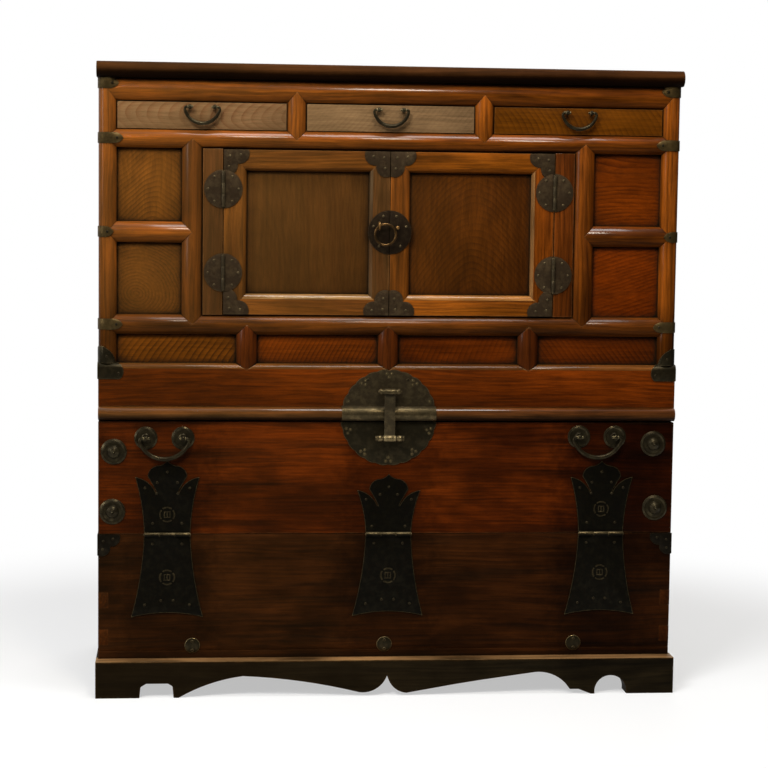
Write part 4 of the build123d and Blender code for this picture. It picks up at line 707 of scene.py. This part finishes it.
def face_by_face(piece, choose):
    """Gives each face the material that choose names from a point just under its skin."""
    for face in piece.data.polygons:
        face.material_index = choose(face.center - face.normal * mm(UNDER_SKIN))


def parted(piece):
    """The piece cut apart where its material changes."""
    pick_only(piece)
    open_mesh()
    bpy.ops.mesh.separate(type="MATERIAL")
    close_mesh()
    return list(bpy.context.selected_objects)


def merged(piece, flat=True):
    """Merges doubled points, and loose triangles into flat faces."""
    pick_only(piece)
    bpy.ops.mesh.customdata_custom_splitnormals_clear()
    open_mesh()
    bpy.ops.mesh.remove_doubles(threshold=mm(SAME_POINT))
    if flat:
        bpy.ops.mesh.dissolve_limited(angle_limit=math.radians(FLAT_TURN), delimit={"MATERIAL"})
    close_mesh()


def rounded(piece, width, segments=1, limit=30.0):
    """Bevels the edges of the active piece that turn by more than limit degrees."""
    bevel = piece.modifiers.new("ease", "BEVEL")
    bevel.width = mm(width)
    bevel.segments = segments
    bevel.limit_method = "ANGLE"
    bevel.angle_limit = math.radians(limit)
    bpy.ops.object.modifier_apply(modifier=bevel.name)


def finish_piece(piece, body, smooth=40):
    pick_only(piece)
    bpy.ops.object.shade_smooth_by_angle(angle=math.radians(smooth))
    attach(piece, body)


def swell(piece, grow):
    """Pushes the whole skin of a piece outwards."""
    push = piece.modifiers.new("swell", "DISPLACE")
    push.mid_level = 0.0
    push.strength = mm(grow)
    pick_only(piece)
    bpy.ops.object.modifier_apply(modifier=push.name)


def copied(name, mesh, materials):
    piece = bpy.data.objects.new(name, mesh.copy())
    bpy.context.scene.collection.objects.link(piece)
    piece.data.materials.clear()
    for material in materials:
        piece.data.materials.append(material)
    return piece


def stand_for(piece, node, smooth=40):
    finish_piece(piece, frame["nodes"][node]["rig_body"], smooth)
    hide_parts(node)


def eased(node, width, materials, choose=None, grow=0.0):
    """choose sorts the faces to the materials; grow swells what the second material covers."""
    piece = copied(node + "_eased", frame["nodes"][node].data, materials)
    parts = [piece]
    if choose:
        face_by_face(piece, choose)
        parts = parted(piece)
    for part in parts:
        merged(part)
        rounded(part, width, 2, SHARP_TURN)
        if grow and part.data.polygons[0].material_index == 1:
            swell(part, grow)
    if len(parts) > 1:
        pick_only(piece, *[part for part in parts if part is not piece])
        bpy.ops.object.join()
    stand_for(piece, node)


def dress(node, material):
    """A node that keeps its own mesh and only gets a finish."""
    piece = frame["nodes"][node]
    if not piece.material_slots:
        piece.data.materials.append(material)
    for place in piece.material_slots:
        place.material = material


print("easing helpers ready")

# %% [markdown]
# ## The framed cupboard
# Posts and stiles are sawn along the trunk, so their grain stands upright, and rails carry it
# across. A rail's pointed end meets a post with the same eased edge on both sides, which draws
# the fine dark line of the joint.

# %% Ease the framing
LOW_MEMBERS_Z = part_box("drawer_1_front")[0].z - mm(60)


def is_upper(point):
    return 1 if point.z > LOW_MEMBERS_Z else 0


for node, materials, choose in (
        ("cell_rails", [rail_wood], None), ("corner_posts", [corner_post_wood], None),
        ("cell_stiles", [stile_wood], None), ("side_rails", [side_rail_wood], None),
        ("door_posts", [left_post_wood, post_wood], lambda p: 1 if p.x > 0 else 0),
        ("front_rails", [low_rail_wood, rail_wood], is_upper),
        ("muntins", [low_muntin_wood, upright_wood], is_upper), ("top_board", [top_wood], None)):
    eased(node, FRAME_EDGE, materials, choose)
SKIRT_NOSE = mm(9)
SKIRT_EDGE_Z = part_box("skirt_front")[1].z - SKIRT_NOSE
# The top band of the skirt gets the painted highlight wood.
eased("skirt_front", BOARD_EDGE, [skirt_wood, skirt_edge_wood],
      lambda p: 1 if p.z > SKIRT_EDGE_Z else 0)
for node, material in (("skirt_sides", side_skirt_wood), ("middle_board", ledge_wood)):
    eased(node, BOARD_EDGE, [material])
print("framing eased")

# %% [markdown]
# ## Panels and doors
# A panel is thin and slides in grooves. The doors are frames of their own, and their rails and
# stiles meet at 45 degrees from the inner corner, so each face is sorted by which side of the
# mitre it lies on.

# %% Ease the panels
CELL_SPLIT_Z = sum(v.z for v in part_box("cell_rails")) / 2


def which_cell(point):
    return (2 if point.x > 0 else 0) + (1 if point.z < CELL_SPLIT_Z else 0)


def which_low_panel(point):
    low_x, high_x = [v.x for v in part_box("low_panels")]
    return min(3, int(4 * (point.x - low_x) / (high_x - low_x)))


eased("cell_panels", PANEL_EDGE, cell_woods, which_cell)
eased("low_panels", PANEL_EDGE, low_woods, which_low_panel)
eased("side_panels", PANEL_EDGE, [side_panel_wood])

# %% Ease the doors
DOOR_MEMBER_W = mm(37)         # rails; the mitres start at the inner corners
HINGE_STILE_W = mm(41)
MEETING_STILE_W = mm(36)
# Width of the inner bevels that carry a painted highlight.
RUBBED_W = mm(6)


def door_member(node, side):
    """Sorts points of a door frame into hinge stile, 0, rail, 1, meeting stile, 2, and the two
    inner bevels that carry a painted highlight, the lower one, 3, and the one on the right, 4."""
    low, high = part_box(node)
    left = low.x + (HINGE_STILE_W if side == "left" else MEETING_STILE_W)
    right = high.x - (MEETING_STILE_W if side == "left" else HINGE_STILE_W)

    def member(point):
        if (left < point.x < right + RUBBED_W
                and -1.6 * RUBBED_W < point.z - low.z - DOOR_MEMBER_W < mm(2)):
            return 3
        if (-mm(2) < point.x - right < RUBBED_W
                and low.z + DOOR_MEMBER_W < point.z < high.z - DOOR_MEMBER_W):
            return 4
        room = DOOR_MEMBER_W - min(point.z - low.z, high.z - point.z)
        if room > 0 and left - room < point.x < right + room:
            return 1
        return 0 if (point.x < (left + right) / 2) == (side == "left") else 2
    return member


for side, material, members in zip(("left", "right"), door_woods, door_frame_woods):
    eased(f"door_{side}_panel", PANEL_EDGE, [material])
    frame_node = f"door_{side}_frame"
    eased(frame_node, FRAME_EDGE, members, door_member(frame_node, side))
print("doors eased")

# %% Ease the drawers
for number, material in zip((1, 2, 3), drawer_woods):
    eased(f"drawer_{number}_front", FRAME_EDGE, [material])
    eased(f"drawer_{number}_box", 0.5, [inner_side_wood])
for node in ("cupboard_floor", "dust_board", "drawer_guides"):
    eased(node, 0.6, [inner_wood])
eased("upper_back_boards", 0.8, [back_wood])
print("drawers and inside eased")

# %% Ease the lower chest and the base
BASE_T = mm(40)
eased("flap_board", THICK_EDGE, [flap_wood])
for node, material in (("lower_front_board", board_wood), ("lower_back_board", board_wood),
                       ("bottom_board", board_wood), ("lower_sides", lower_side_wood)):
    eased(node, BOARD_EDGE, [material])
eased("base_front", THICK_EDGE, [base_wood, base_ledge_wood],
      lambda p: 1 if p.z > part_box("base_front")[1].z - mm(1) else 0)
base_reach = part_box("base_sides_and_back")[1]
BACK_FACE_Y = base_reach.y - BASE_T - mm(1)
SIDE_FACE_X = base_reach.x - BASE_T + mm(1)
eased("base_sides_and_back", THICK_EDGE, [base_side_wood, base_wood],
      lambda p: 1 if p.y > BACK_FACE_Y and abs(p.x) < SIDE_FACE_X else 0)
print("lower chest eased")

# %% [markdown]
# ## The ironwork
# Plates are cut from sheet and their edges filed, so the bevel is small. The rubbed edge catches
# the light as a thin bright line.

# %% Ease the irons
def swollen(node, grow, material):
    """A copy of a bent rod, a little thicker all round."""
    piece = copied(node + "_swollen", frame["nodes"][node].data, [material])
    merged(piece, flat=False)
    swell(piece, grow)
    stand_for(piece, node, smooth=60)


WRAP_TOP_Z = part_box("middle_board")[1].z + mm(0.8)
KNUCKLE_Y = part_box("door_left_frame")[0].y - mm(2.6)
RING_MIDDLE_Z = sum(v.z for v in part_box("door_ring")) / 2 + mm(4)
RING_PLATE_REACH = mm(60)


def ring_part(point):
    """Sorts points of the door irons into corners, 0, ears of the ring, 1, and its plate, 2."""
    if point.y < KNUCKLE_Y - mm(0.9):
        return 1
    return 2 if abs(point.z - RING_MIDDLE_Z) < RING_PLATE_REACH else 0


for node in ("door_post_hinge_leaves", "door_left_hinge_leaves", "door_right_hinge_leaves"):
    eased(node, SHEET_EDGE, [worn_iron, hasp_iron], lambda p: 1 if p.y < KNUCKLE_Y else 0)
eased("board_corner_irons", SHEET_EDGE, [corner_iron, low_plate_iron],
      lambda p: 1 if p.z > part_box("flap_board")[1].z else 0)
eased("base_discs", SHEET_EDGE, [low_plate_iron])
for node in ("door_left_irons", "door_right_irons"):
    eased(node, SHEET_EDGE, [worn_iron, ring_brass, ring_plate_iron], ring_part, grow=1.9)
STRAP_PIN_R = 1.8              # radius of a strap hinge's pin in millimetres
PIN_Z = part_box("hinge_pins")[0].z + mm(STRAP_PIN_R)
# Above the pin, the front of each knuckle takes the bright iron: a painted highlight along its top.
for node in ("strap_upper_leaves", "strap_lower_leaves"):
    eased(node, 1.1, [black_iron, bright_iron],
          lambda p: 1 if p.y < FRONT_Y - mm(2.3) and p.z > PIN_Z else 0)
# Where the upper lock plate wraps over the middle board's round nose, it takes the bright iron: a
# painted highlight across the wrap.
eased("lock_plate_upper", PLATE_EDGE, [plate_iron, bright_iron],
      lambda p: 1 if p.z < WRAP_TOP_Z or p.y < FRONT_Y - mm(3) else 0)
eased("lock_plate_lower", PLATE_EDGE, [low_plate_iron, bright_iron],
      lambda p: 1 if p.y < FRONT_Y - mm(3) else 0, grow=0.8)
eased("hasp", PLATE_EDGE, [hasp_iron])
eased("rail_irons", SHEET_EDGE, [grey_iron])
for node in ("flap_bosses", "flap_handle_posts", "drawer_1_pull_posts", "drawer_2_pull_posts",
             "drawer_3_pull_posts"):
    dress(node, boss_iron)
dress("hinge_pins", bright_iron)
for number in (1, 2, 3):
    swollen(f"drawer_{number}_bail", 0.8, boss_iron)
for side in ("left", "right"):
    swollen(f"flap_bail_{side}", 1.0, boss_iron)
swollen("door_ring", 0.7, worn_brass)
print("irons eased")

# %% [markdown]
# ## Nail heads
# Every plate is held by small forged nails with domed heads. One head is a sphere cut in half
# and pressed flat. It is copied to each place, a little sunk into its plate.

# %% One nail head
NAIL_R = 2.4
NAIL_RISE = 1.5


def nail_head(radius=NAIL_R, rise=NAIL_RISE):
    bpy.ops.object.select_all(action="DESELECT")
    bpy.ops.mesh.primitive_uv_sphere_add(segments=12, ring_count=8, radius=mm(radius))
    head = bpy.context.object
    open_mesh()
    bpy.ops.mesh.bisect(plane_co=(0, 0, 0), plane_no=(0, 1, 0), clear_outer=True, use_fill=True)
    bpy.ops.mesh.select_all(action="SELECT")
    bpy.ops.transform.resize(value=(1.0, rise / radius, 1.0), center_override=(0, 0, 0))
    bpy.ops.mesh.remove_doubles(threshold=mm(0.001))
    bpy.ops.mesh.normals_make_consistent(inside=False)
    close_mesh()
    return head


SINK = 0.15


def set_in_place(name, pattern, places, body, material):
    """Copies a small piece to places in millimetres and joins the copies to one piece."""
    copies = []
    for place in places:
        copy = copied(name, pattern.data, [material])
        copy.data.transform(Matrix.Translation([mm(v) for v in place]))
        copies.append(copy)
    pick_only(*copies)
    if len(copies) > 1:
        bpy.ops.object.join()
    finish_piece(copies[0], body, smooth=60)


head_pattern = nail_head()
dot_pattern = nail_head(1.6, 1.0)
print("nail head:", len(head_pattern.data.polygons), "faces")

# %% Nails of the strap hinges
PLANE = FRONT_Y * 1000.0                       # front plane of the chest in millimetres
SEAM = levels("hinge_pins")[0] + STRAP_PIN_R   # middle of the strap hinges' knuckles
STRAP_FACE = PLANE - 2.0
SIDE_STRAP_NAILS = ((0, 113), (18, 94), (-18, 94), (40, 84), (-40, 84), (19, 74), (-19, 74),
                    (26, 20), (-26, 20))
MIDDLE_STRAP_NAILS = ((0, 86), (16, 72), (-16, 72), (41, 63), (-41, 63), (30, 14), (-30, 14))
LOW_STRAP_NAILS = ((26, -17), (-26, -17), (11, -120), (-11, -120), (40, -128), (-40, -128))


def on_plane(points, x=0.0, z=0.0, face=STRAP_FACE):
    return [(x + a, face + SINK, z + b) for a, b in points]


upper_places = []
for x, points in zip(STRAP_X, (SIDE_STRAP_NAILS, MIDDLE_STRAP_NAILS, SIDE_STRAP_NAILS)):
    upper_places += on_plane(points, x, SEAM)
lower_places = [place for x in STRAP_X for place in on_plane(LOW_STRAP_NAILS, x, SEAM)]
set_in_place("strap_upper_nails", head_pattern, upper_places, "flap", nail_iron)
set_in_place("strap_lower_nails", head_pattern, lower_places, "case", nail_iron)
print("strap nails:", len(upper_places) + len(lower_places))

# %% [markdown]
# ## Coin ornament
# The smith chased a round coin with a square hole into the straps, a wish for plenty. It is a
# thin ring, opened at the four diagonals, round a small square with a bar.

# %% One coin
COIN_R = 13.0
COIN_WIRE = 1.0
COIN_GAP = 13.0                # half of each opening, in degrees
COIN_BARS = ((0, 5, 11.6, 1.6), (0, -5, 11.6, 1.6),       # middle in X and Z, width, height
             (5, 0, 1.6, 8.4), (-5, 0, 1.6, 8.4), (0, 0, 1.6, 8.4))
COIN_BAR_T = 0.8


def wire_ring(radius, wire, around, across):
    """A ring of wire that lies flat on an upright face."""
    bpy.ops.object.select_all(action="DESELECT")
    bpy.ops.mesh.primitive_torus_add(major_segments=around, minor_segments=across,
                                     major_radius=mm(radius), minor_radius=mm(wire),
                                     rotation=(math.pi / 2, 0, 0))
    bpy.ops.object.transform_apply(rotation=True)
    return bpy.context.object


def coin():
    ring = wire_ring(COIN_R, COIN_WIRE, 40, 6)
    open_mesh()
    bpy.ops.mesh.select_mode(type="FACE")
    bpy.ops.mesh.select_all(action="DESELECT")
    close_mesh()
    for face in ring.data.polygons:
        angle = math.degrees(math.atan2(face.center.z, face.center.x)) % 90.0
        face.select = abs(angle - 45.0) < COIN_GAP
    bpy.ops.object.mode_set(mode="EDIT")
    bpy.ops.mesh.delete(type="FACE")
    bpy.ops.mesh.select_mode(type="EDGE")
    bpy.ops.mesh.select_all(action="DESELECT")
    bpy.ops.mesh.select_non_manifold()
    bpy.ops.mesh.fill_holes(sides=8)
    close_mesh()
    bars = [ring]
    for x, z, width, height in COIN_BARS:
        bpy.ops.object.select_all(action="DESELECT")
        bpy.ops.mesh.primitive_plane_add(size=1.0, rotation=(math.pi / 2, 0, 0))
        bar = bpy.context.object
        bpy.ops.object.transform_apply(rotation=True)
        open_mesh()
        bpy.ops.transform.resize(value=(mm(width), 1.0, mm(height)), center_override=(0, 0, 0))
        bpy.ops.mesh.extrude_region_move(TRANSFORM_OT_translate={"value": (0, -mm(COIN_BAR_T), 0)})
        bpy.ops.mesh.select_all(action="SELECT")
        bpy.ops.transform.translate(value=(mm(x), 0, mm(z)))
        bpy.ops.mesh.normals_make_consistent(inside=False)
        close_mesh()
        rounded(bar, 0.4)
        bars.append(bar)
    pick_only(*bars)
    bpy.ops.object.join()
    return ring


coin_pattern = coin()
UPPER_COINS = ((STRAP_X[0], 36), (STRAP_X[2], 45))
LOWER_COINS = ((STRAP_X[0], -78), (STRAP_X[1], -76), (STRAP_X[2], -72))
set_in_place("strap_upper_coins", coin_pattern, on_plane(UPPER_COINS, z=SEAM), "flap", coin_iron)
set_in_place("strap_lower_coins", coin_pattern, on_plane(LOWER_COINS, z=SEAM), "case", coin_iron)
print("coins:", len(UPPER_COINS) + len(LOWER_COINS))

# %% [markdown]
# ## Rolls of the hasp
# The strip of the hasp is rolled at both ends, and a bead closes each roll. The lugs on the plate
# below carry the same beads, so the three read as one bright bar.

# %% Rolled ends
def roll(length, radius):
    """A short bar along X with rounded ends and a groove near each of them."""
    bpy.ops.object.select_all(action="DESELECT")
    bpy.ops.mesh.primitive_cylinder_add(vertices=20, radius=mm(radius), depth=mm(length),
                                        rotation=(0, math.pi / 2, 0))
    bar = bpy.context.object
    bpy.ops.object.transform_apply(rotation=True)
    open_mesh()
    for share in (-0.30, -0.38, 0.30, 0.38):
        bpy.ops.mesh.select_all(action="SELECT")
        bpy.ops.mesh.bisect(plane_co=(mm(length) * share, 0, 0), plane_no=(1, 0, 0))
    bpy.ops.mesh.select_mode(type="VERT")
    bpy.ops.mesh.select_all(action="DESELECT")
    close_mesh()
    for vertex in bar.data.vertices:
        vertex.select = 0.36 < abs(vertex.co.x) / mm(length) < 0.40
    bpy.ops.object.mode_set(mode="EDIT")
    bpy.ops.transform.resize(value=(1.0, 0.78, 0.78), center_override=(0, 0, 0))
    bpy.ops.mesh.select_all(action="SELECT")
    bpy.ops.mesh.normals_make_consistent(inside=False)
    close_mesh()
    rounded(bar, radius * 0.28, 3, 50.0)
    return bar


ROLL_Y = -234.4
hasp_low, hasp_high = [v * 1000.0 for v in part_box("hasp")]
HASP_X = (hasp_low.x + hasp_high.x) / 2
LOW_ROLL_Z = hasp_low.z + 6.0
LUG_AT = 18.8                          # middle of a lug from the middle of the hasp
for name, length, radius, places, body in (
        ("hasp_lower_roll", 21.0, 5.5, [(HASP_X, ROLL_Y, LOW_ROLL_Z)], "hasp"),
        ("hasp_upper_roll", 33.0, 4.8, [(HASP_X, ROLL_Y, hasp_high.z - 5.0)], "hasp"),
        ("lug_rolls", 14.0, 5.5, [(HASP_X + side * LUG_AT, ROLL_Y, LOW_ROLL_Z) for side in (-1, 1)],
         "flap")):
    pattern = roll(length, radius)
    set_in_place(name, pattern, places, body, bright_iron)
    bpy.data.objects.remove(pattern)
print("rolls set")

# %% [markdown]
# ## Punched dots on the lock plate
# Groups of three dots are punched from behind around the rim. Nails hold the plate between them.

# %% Lock plate dots and nails
LIP_R, LIP_WIRE = 2.2, 0.7
lip_pattern = wire_ring(LIP_R, LIP_WIRE, 12, 5)
FLAP_TOP = levels("flap_board")[1]
LOCK_X, LOCK_Z = -2.0, FLAP_TOP + 8.2          # middle of the round plate
LOCK_NAILS = ((-38, 68), (34, 68))
UPPER_FROM, LOWER_TO = LOCK_Z + 24, FLAP_TOP - 8
IRON_FACE = PLANE - 1.5


def on_circle(radius, degrees):
    return radius * math.cos(math.radians(degrees)), radius * math.sin(math.radians(degrees))


rim_points = []
OUTER_DOTS_R, INNER_DOT_R, DOT_APART = 79, 72.5, 3.2
for middle in range(18, 360, 36):
    for radius, degrees in ((OUTER_DOTS_R, middle - DOT_APART), (OUTER_DOTS_R, middle + DOT_APART),
                            (INNER_DOT_R, middle)):
        a, b = on_circle(radius, degrees)
        rim_points.append((LOCK_X + a, LOCK_Z + b))
upper_dots = [p for p in rim_points if p[1] > UPPER_FROM]
lower_dots = [p for p in rim_points if p[1] < LOWER_TO]
# The black centre of each dot is painted shade, standing for the shade inside the punched hollow.
for half, dots, body in (("upper", upper_dots, "case"), ("lower", lower_dots, "flap")):
    places = on_plane(dots, face=IRON_FACE)
    set_in_place(f"lock_{half}_dots", dot_pattern, places, body, black_iron)
    set_in_place(f"lock_{half}_lips", lip_pattern, places, body, coin_iron)
lock_nails = on_plane(LOCK_NAILS, LOCK_X, LOCK_Z, IRON_FACE)
set_in_place("lock_upper_nails", head_pattern, lock_nails, "case", nail_iron)
print("lock dots:", len(upper_dots) + len(lower_dots))

# %% [markdown]
# ## Nails of the doors and of the case
# A corner iron has a nail near each lobe's end and one in its corner. Half a hinge disc has
# three, set out on a circle. The round plate under the ring has six, shared by the two doors.

# %% Door nails
DOOR_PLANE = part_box("door_left_frame")[0].y * 1000.0 - 1.5
CORNER_NAILS = ((30, 9), (11, 11), (9, 30))
PLATE_NAILS = (20, 68, 112, 160, 232, 308)
PLATE_NAIL_R = 31.0
DISC_R = 34.0
DISC_NAIL_R = 27.0
DISC_NAILS = (-54, 0, 54)
HALF_GAP = 0.6                 # half of the gap between a door and its neighbour
disc_foot, disc_top = levels("door_left_hinge_leaves")
PLATE_Z = levels("door_posts")[0] + 150.0      # middle of the plate under the ring
for side, sign in (("left", -1), ("right", 1)):
    low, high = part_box(f"door_{side}_frame")
    points = []
    for x, inward in ((low.x * 1000.0, 1), (high.x * 1000.0, -1)):
        for z, upward in ((low.z * 1000.0, 1), (high.z * 1000.0, -1)):
            points += [(x + inward * a, z + upward * b) for a, b in CORNER_NAILS]
    hinge_x = (low.x if side == "left" else high.x) * 1000.0 + sign * HALF_GAP
    meeting_x = (high.x if side == "left" else low.x) * 1000.0 - sign * HALF_GAP
    post_points = []
    for z in (disc_foot + DISC_R, disc_top - DISC_R):
        for degrees in DISC_NAILS:
            a, b = on_circle(DISC_NAIL_R, degrees)
            points.append((hinge_x - sign * a, z + b))
            post_points.append((hinge_x + sign * a, z + b))
    for degrees in PLATE_NAILS:
        a, b = on_circle(PLATE_NAIL_R, degrees)
        if a * sign > 0:
            points.append((meeting_x + a, PLATE_Z + b))
    set_in_place(f"door_{side}_nails", head_pattern, on_plane(points, face=DOOR_PLANE),
                 f"door_{side}", disc_nail_iron)
    set_in_place(f"door_post_{side}_nails", head_pattern, on_plane(post_points, face=DOOR_PLANE),
                 "case", disc_nail_iron)
print("door nails set")

# %% Case nails
case_points = []
rail_low, rail_high = [v.x * 1000.0 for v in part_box("corner_posts")]
irons_foot, irons_top = levels("rail_irons")
RAIL_IRON_NAILS = (            # length of the iron, middle of its rail
    (43, irons_foot + 9.5), (27, CELL_SPLIT_Z * 1000.0), (44, levels("dust_board")[0] - 4.5),
    (36, irons_top - 9.5))
SKIRT_TOP = levels("skirt_front")[1]
BOARD_TOP = levels("lower_front_board")[1]
for edge, inward in ((rail_low, 1), (rail_high, -1)):
    for length, z in RAIL_IRON_NAILS:
        case_points.append((edge + inward * (length - 11), z))
    case_points += [(edge + inward * 15, SKIRT_TOP + 12), (edge + inward * 36, SKIRT_TOP - 18)]
    case_points += [(edge + inward * 9, BOARD_TOP - 12), (edge + inward * 26, BOARD_TOP - 8),
                    (edge + inward * 8, BOARD_TOP - 27)]
BASE_DISC_X = (-353.0, -5.0, 343.5)
BASE_DISC_Z = 89.0
DISC_NAIL_RISE = 8.0
case_points += [(x, BASE_DISC_Z + rise) for x in BASE_DISC_X
                for rise in (DISC_NAIL_RISE, -DISC_NAIL_RISE)]
set_in_place("case_nails", head_pattern, on_plane(case_points, face=IRON_FACE), "case", nail_iron)
for pattern in (head_pattern, dot_pattern, coin_pattern, lip_pattern):
    bpy.data.objects.remove(pattern)
print("case nails:", len(case_points))

# %% [markdown]
# ## Floor, backdrop and light
# The chest stands on a pale floor in a plain white studio. Soft light comes from above and from
# the left, with a weak fill, so rounded rails show a bright upper edge and a dark lower one. The
# world is white only to the eye and to reflections.

# %% Studio
def soft_lamp(name, place, aim, size, watts, mirrored=True, colour=(1.0, 1.0, 1.0)):
    data = bpy.data.lights.new(name, "AREA")
    data.shape = "RECTANGLE"
    data.size, data.size_y = size
    data.energy = watts
    data.color = colour
    lamp = bpy.data.objects.new(name, data)
    lamp.location = place
    direction = Vector(aim) - Vector(place)
    lamp.rotation_euler = direction.to_track_quat("-Z", "Y").to_euler()
    lamp.visible_glossy = mirrored
    bpy.context.scene.collection.objects.link(lamp)


soft_lamp("overhead", (0.2, -0.80, 2.7), (0.0, -0.05, 0.9), (1.3, 0.6), 25.0)
soft_lamp("gleam", (0.3, -2.4, 3.2), (0.0, -0.2, 0.9), (0.55, 0.35), 26.0, colour=(1.0, 0.9, 0.74))
soft_lamp("side", (-2.7, -1.5, 1.5), (0.0, -0.2, 0.8), (0.5, 1.6), 16.0)
soft_lamp("key", (-1.4, -2.6, 2.8), (0.0, -0.1, 0.6), (1.1, 1.0), 88.0, mirrored=False)
soft_lamp("fill", (1.8, -3.4, 1.2), (0.0, 0.0, 0.5), (2.2, 1.8), 6.0, mirrored=False)
soft_lamp("back_fill", (0.6, 3.2, 2.2), (0.0, 0.2, 0.6), (2.0, 2.0), 45.0)

FLOOR_RADIUS = 1.6
bpy.ops.object.select_all(action="DESELECT")
bpy.ops.mesh.primitive_circle_add(vertices=96, radius=FLOOR_RADIUS, fill_type="NGON",
                                  location=(0, 0, 0))
floor = bpy.context.object
floor.name = "floor"
floor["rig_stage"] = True

WHITE = (1.0, 1.0, 1.0, 1.0)
floor_paint = bpy.data.materials.new("floor_paint")
floor_paint.use_nodes = True
floor_paint.node_tree.nodes.clear()
wiring = Wiring(floor_paint.node_tree)
path = wiring.node("LightPath").outputs
mirror = wiring.math("MAXIMUM", path["Is Camera Ray"], path["Is Glossy Ray"])
eye = wiring.math("MAXIMUM", mirror, path["Is Transmission Ray"])
matt = wiring.node("BsdfDiffuse", {"Color": paint(160, 158, 154)})
bright = wiring.node("BsdfDiffuse", {"Color": WHITE})
plain = wiring.node("MixShader", {0: path["Is Camera Ray"], 1: matt.outputs[0],
                                  2: bright.outputs[0]})
white = wiring.node("Emission", {"Color": WHITE, "Strength": 1.0})
PALE_SHARE = 0.5                # how much of the shadow the pale floor swallows
swallowed = wiring.times(eye, PALE_SHARE)
lit = wiring.node("MixShader", {0: swallowed, 1: plain.outputs[0], 2: white.outputs[0]})
reach = wiring.vector("LENGTH", wiring.node("TexCoord").outputs["Object"])
rim = wiring.times(wiring.ramp(reach, 0.55 * FLOOR_RADIUS, 0.97 * FLOOR_RADIUS), eye)
choice = wiring.node("MixShader", {0: rim, 1: lit.outputs[0], 2: white.outputs[0]})
wiring.node("OutputMaterial", {"Surface": choice.outputs[0]})
floor.data.materials.append(floor_paint)

world = bpy.data.worlds.new("studio")
bpy.context.scene.world = world
world.use_nodes = True
world.node_tree.nodes.clear()
wiring = Wiring(world.node_tree)
path = wiring.node("LightPath").outputs
ROOM_LEVEL = 0.09
DARK_SIDE = 0.05
BRIGHT_SIDE = (-0.42, 0.62, 0.66)
looking = wiring.node("TexCoord").outputs["Generated"]
side = wiring.vector("DOT_PRODUCT", looking, BRIGHT_SIDE)
mirrored = wiring.ramp(side, -0.05, 0.9, DARK_SIDE, 1.0)
glossy = wiring.math("MAXIMUM", path["Is Glossy Ray"], path["Is Transmission Ray"])
above_room = wiring.math("SUBTRACT", mirrored, ROOM_LEVEL)
strength = wiring.math("MULTIPLY_ADD", glossy, above_room, ROOM_LEVEL)
strength = wiring.math("MAXIMUM", strength, path["Is Camera Ray"])
air = wiring.node("Background", {"Color": WHITE, "Strength": strength})
wiring.node("OutputWorld", {"Surface": air.outputs[0]})
print("studio ready")

# %% [markdown]
# ## Measure and finish
# The size of the dressed chest is measured and printed. The dressed chest has to stay
# inside the box of the model.

# %% Sizes and the end
low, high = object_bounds()
print("visual box in metres:", [round(v, 4) for v in high - low])
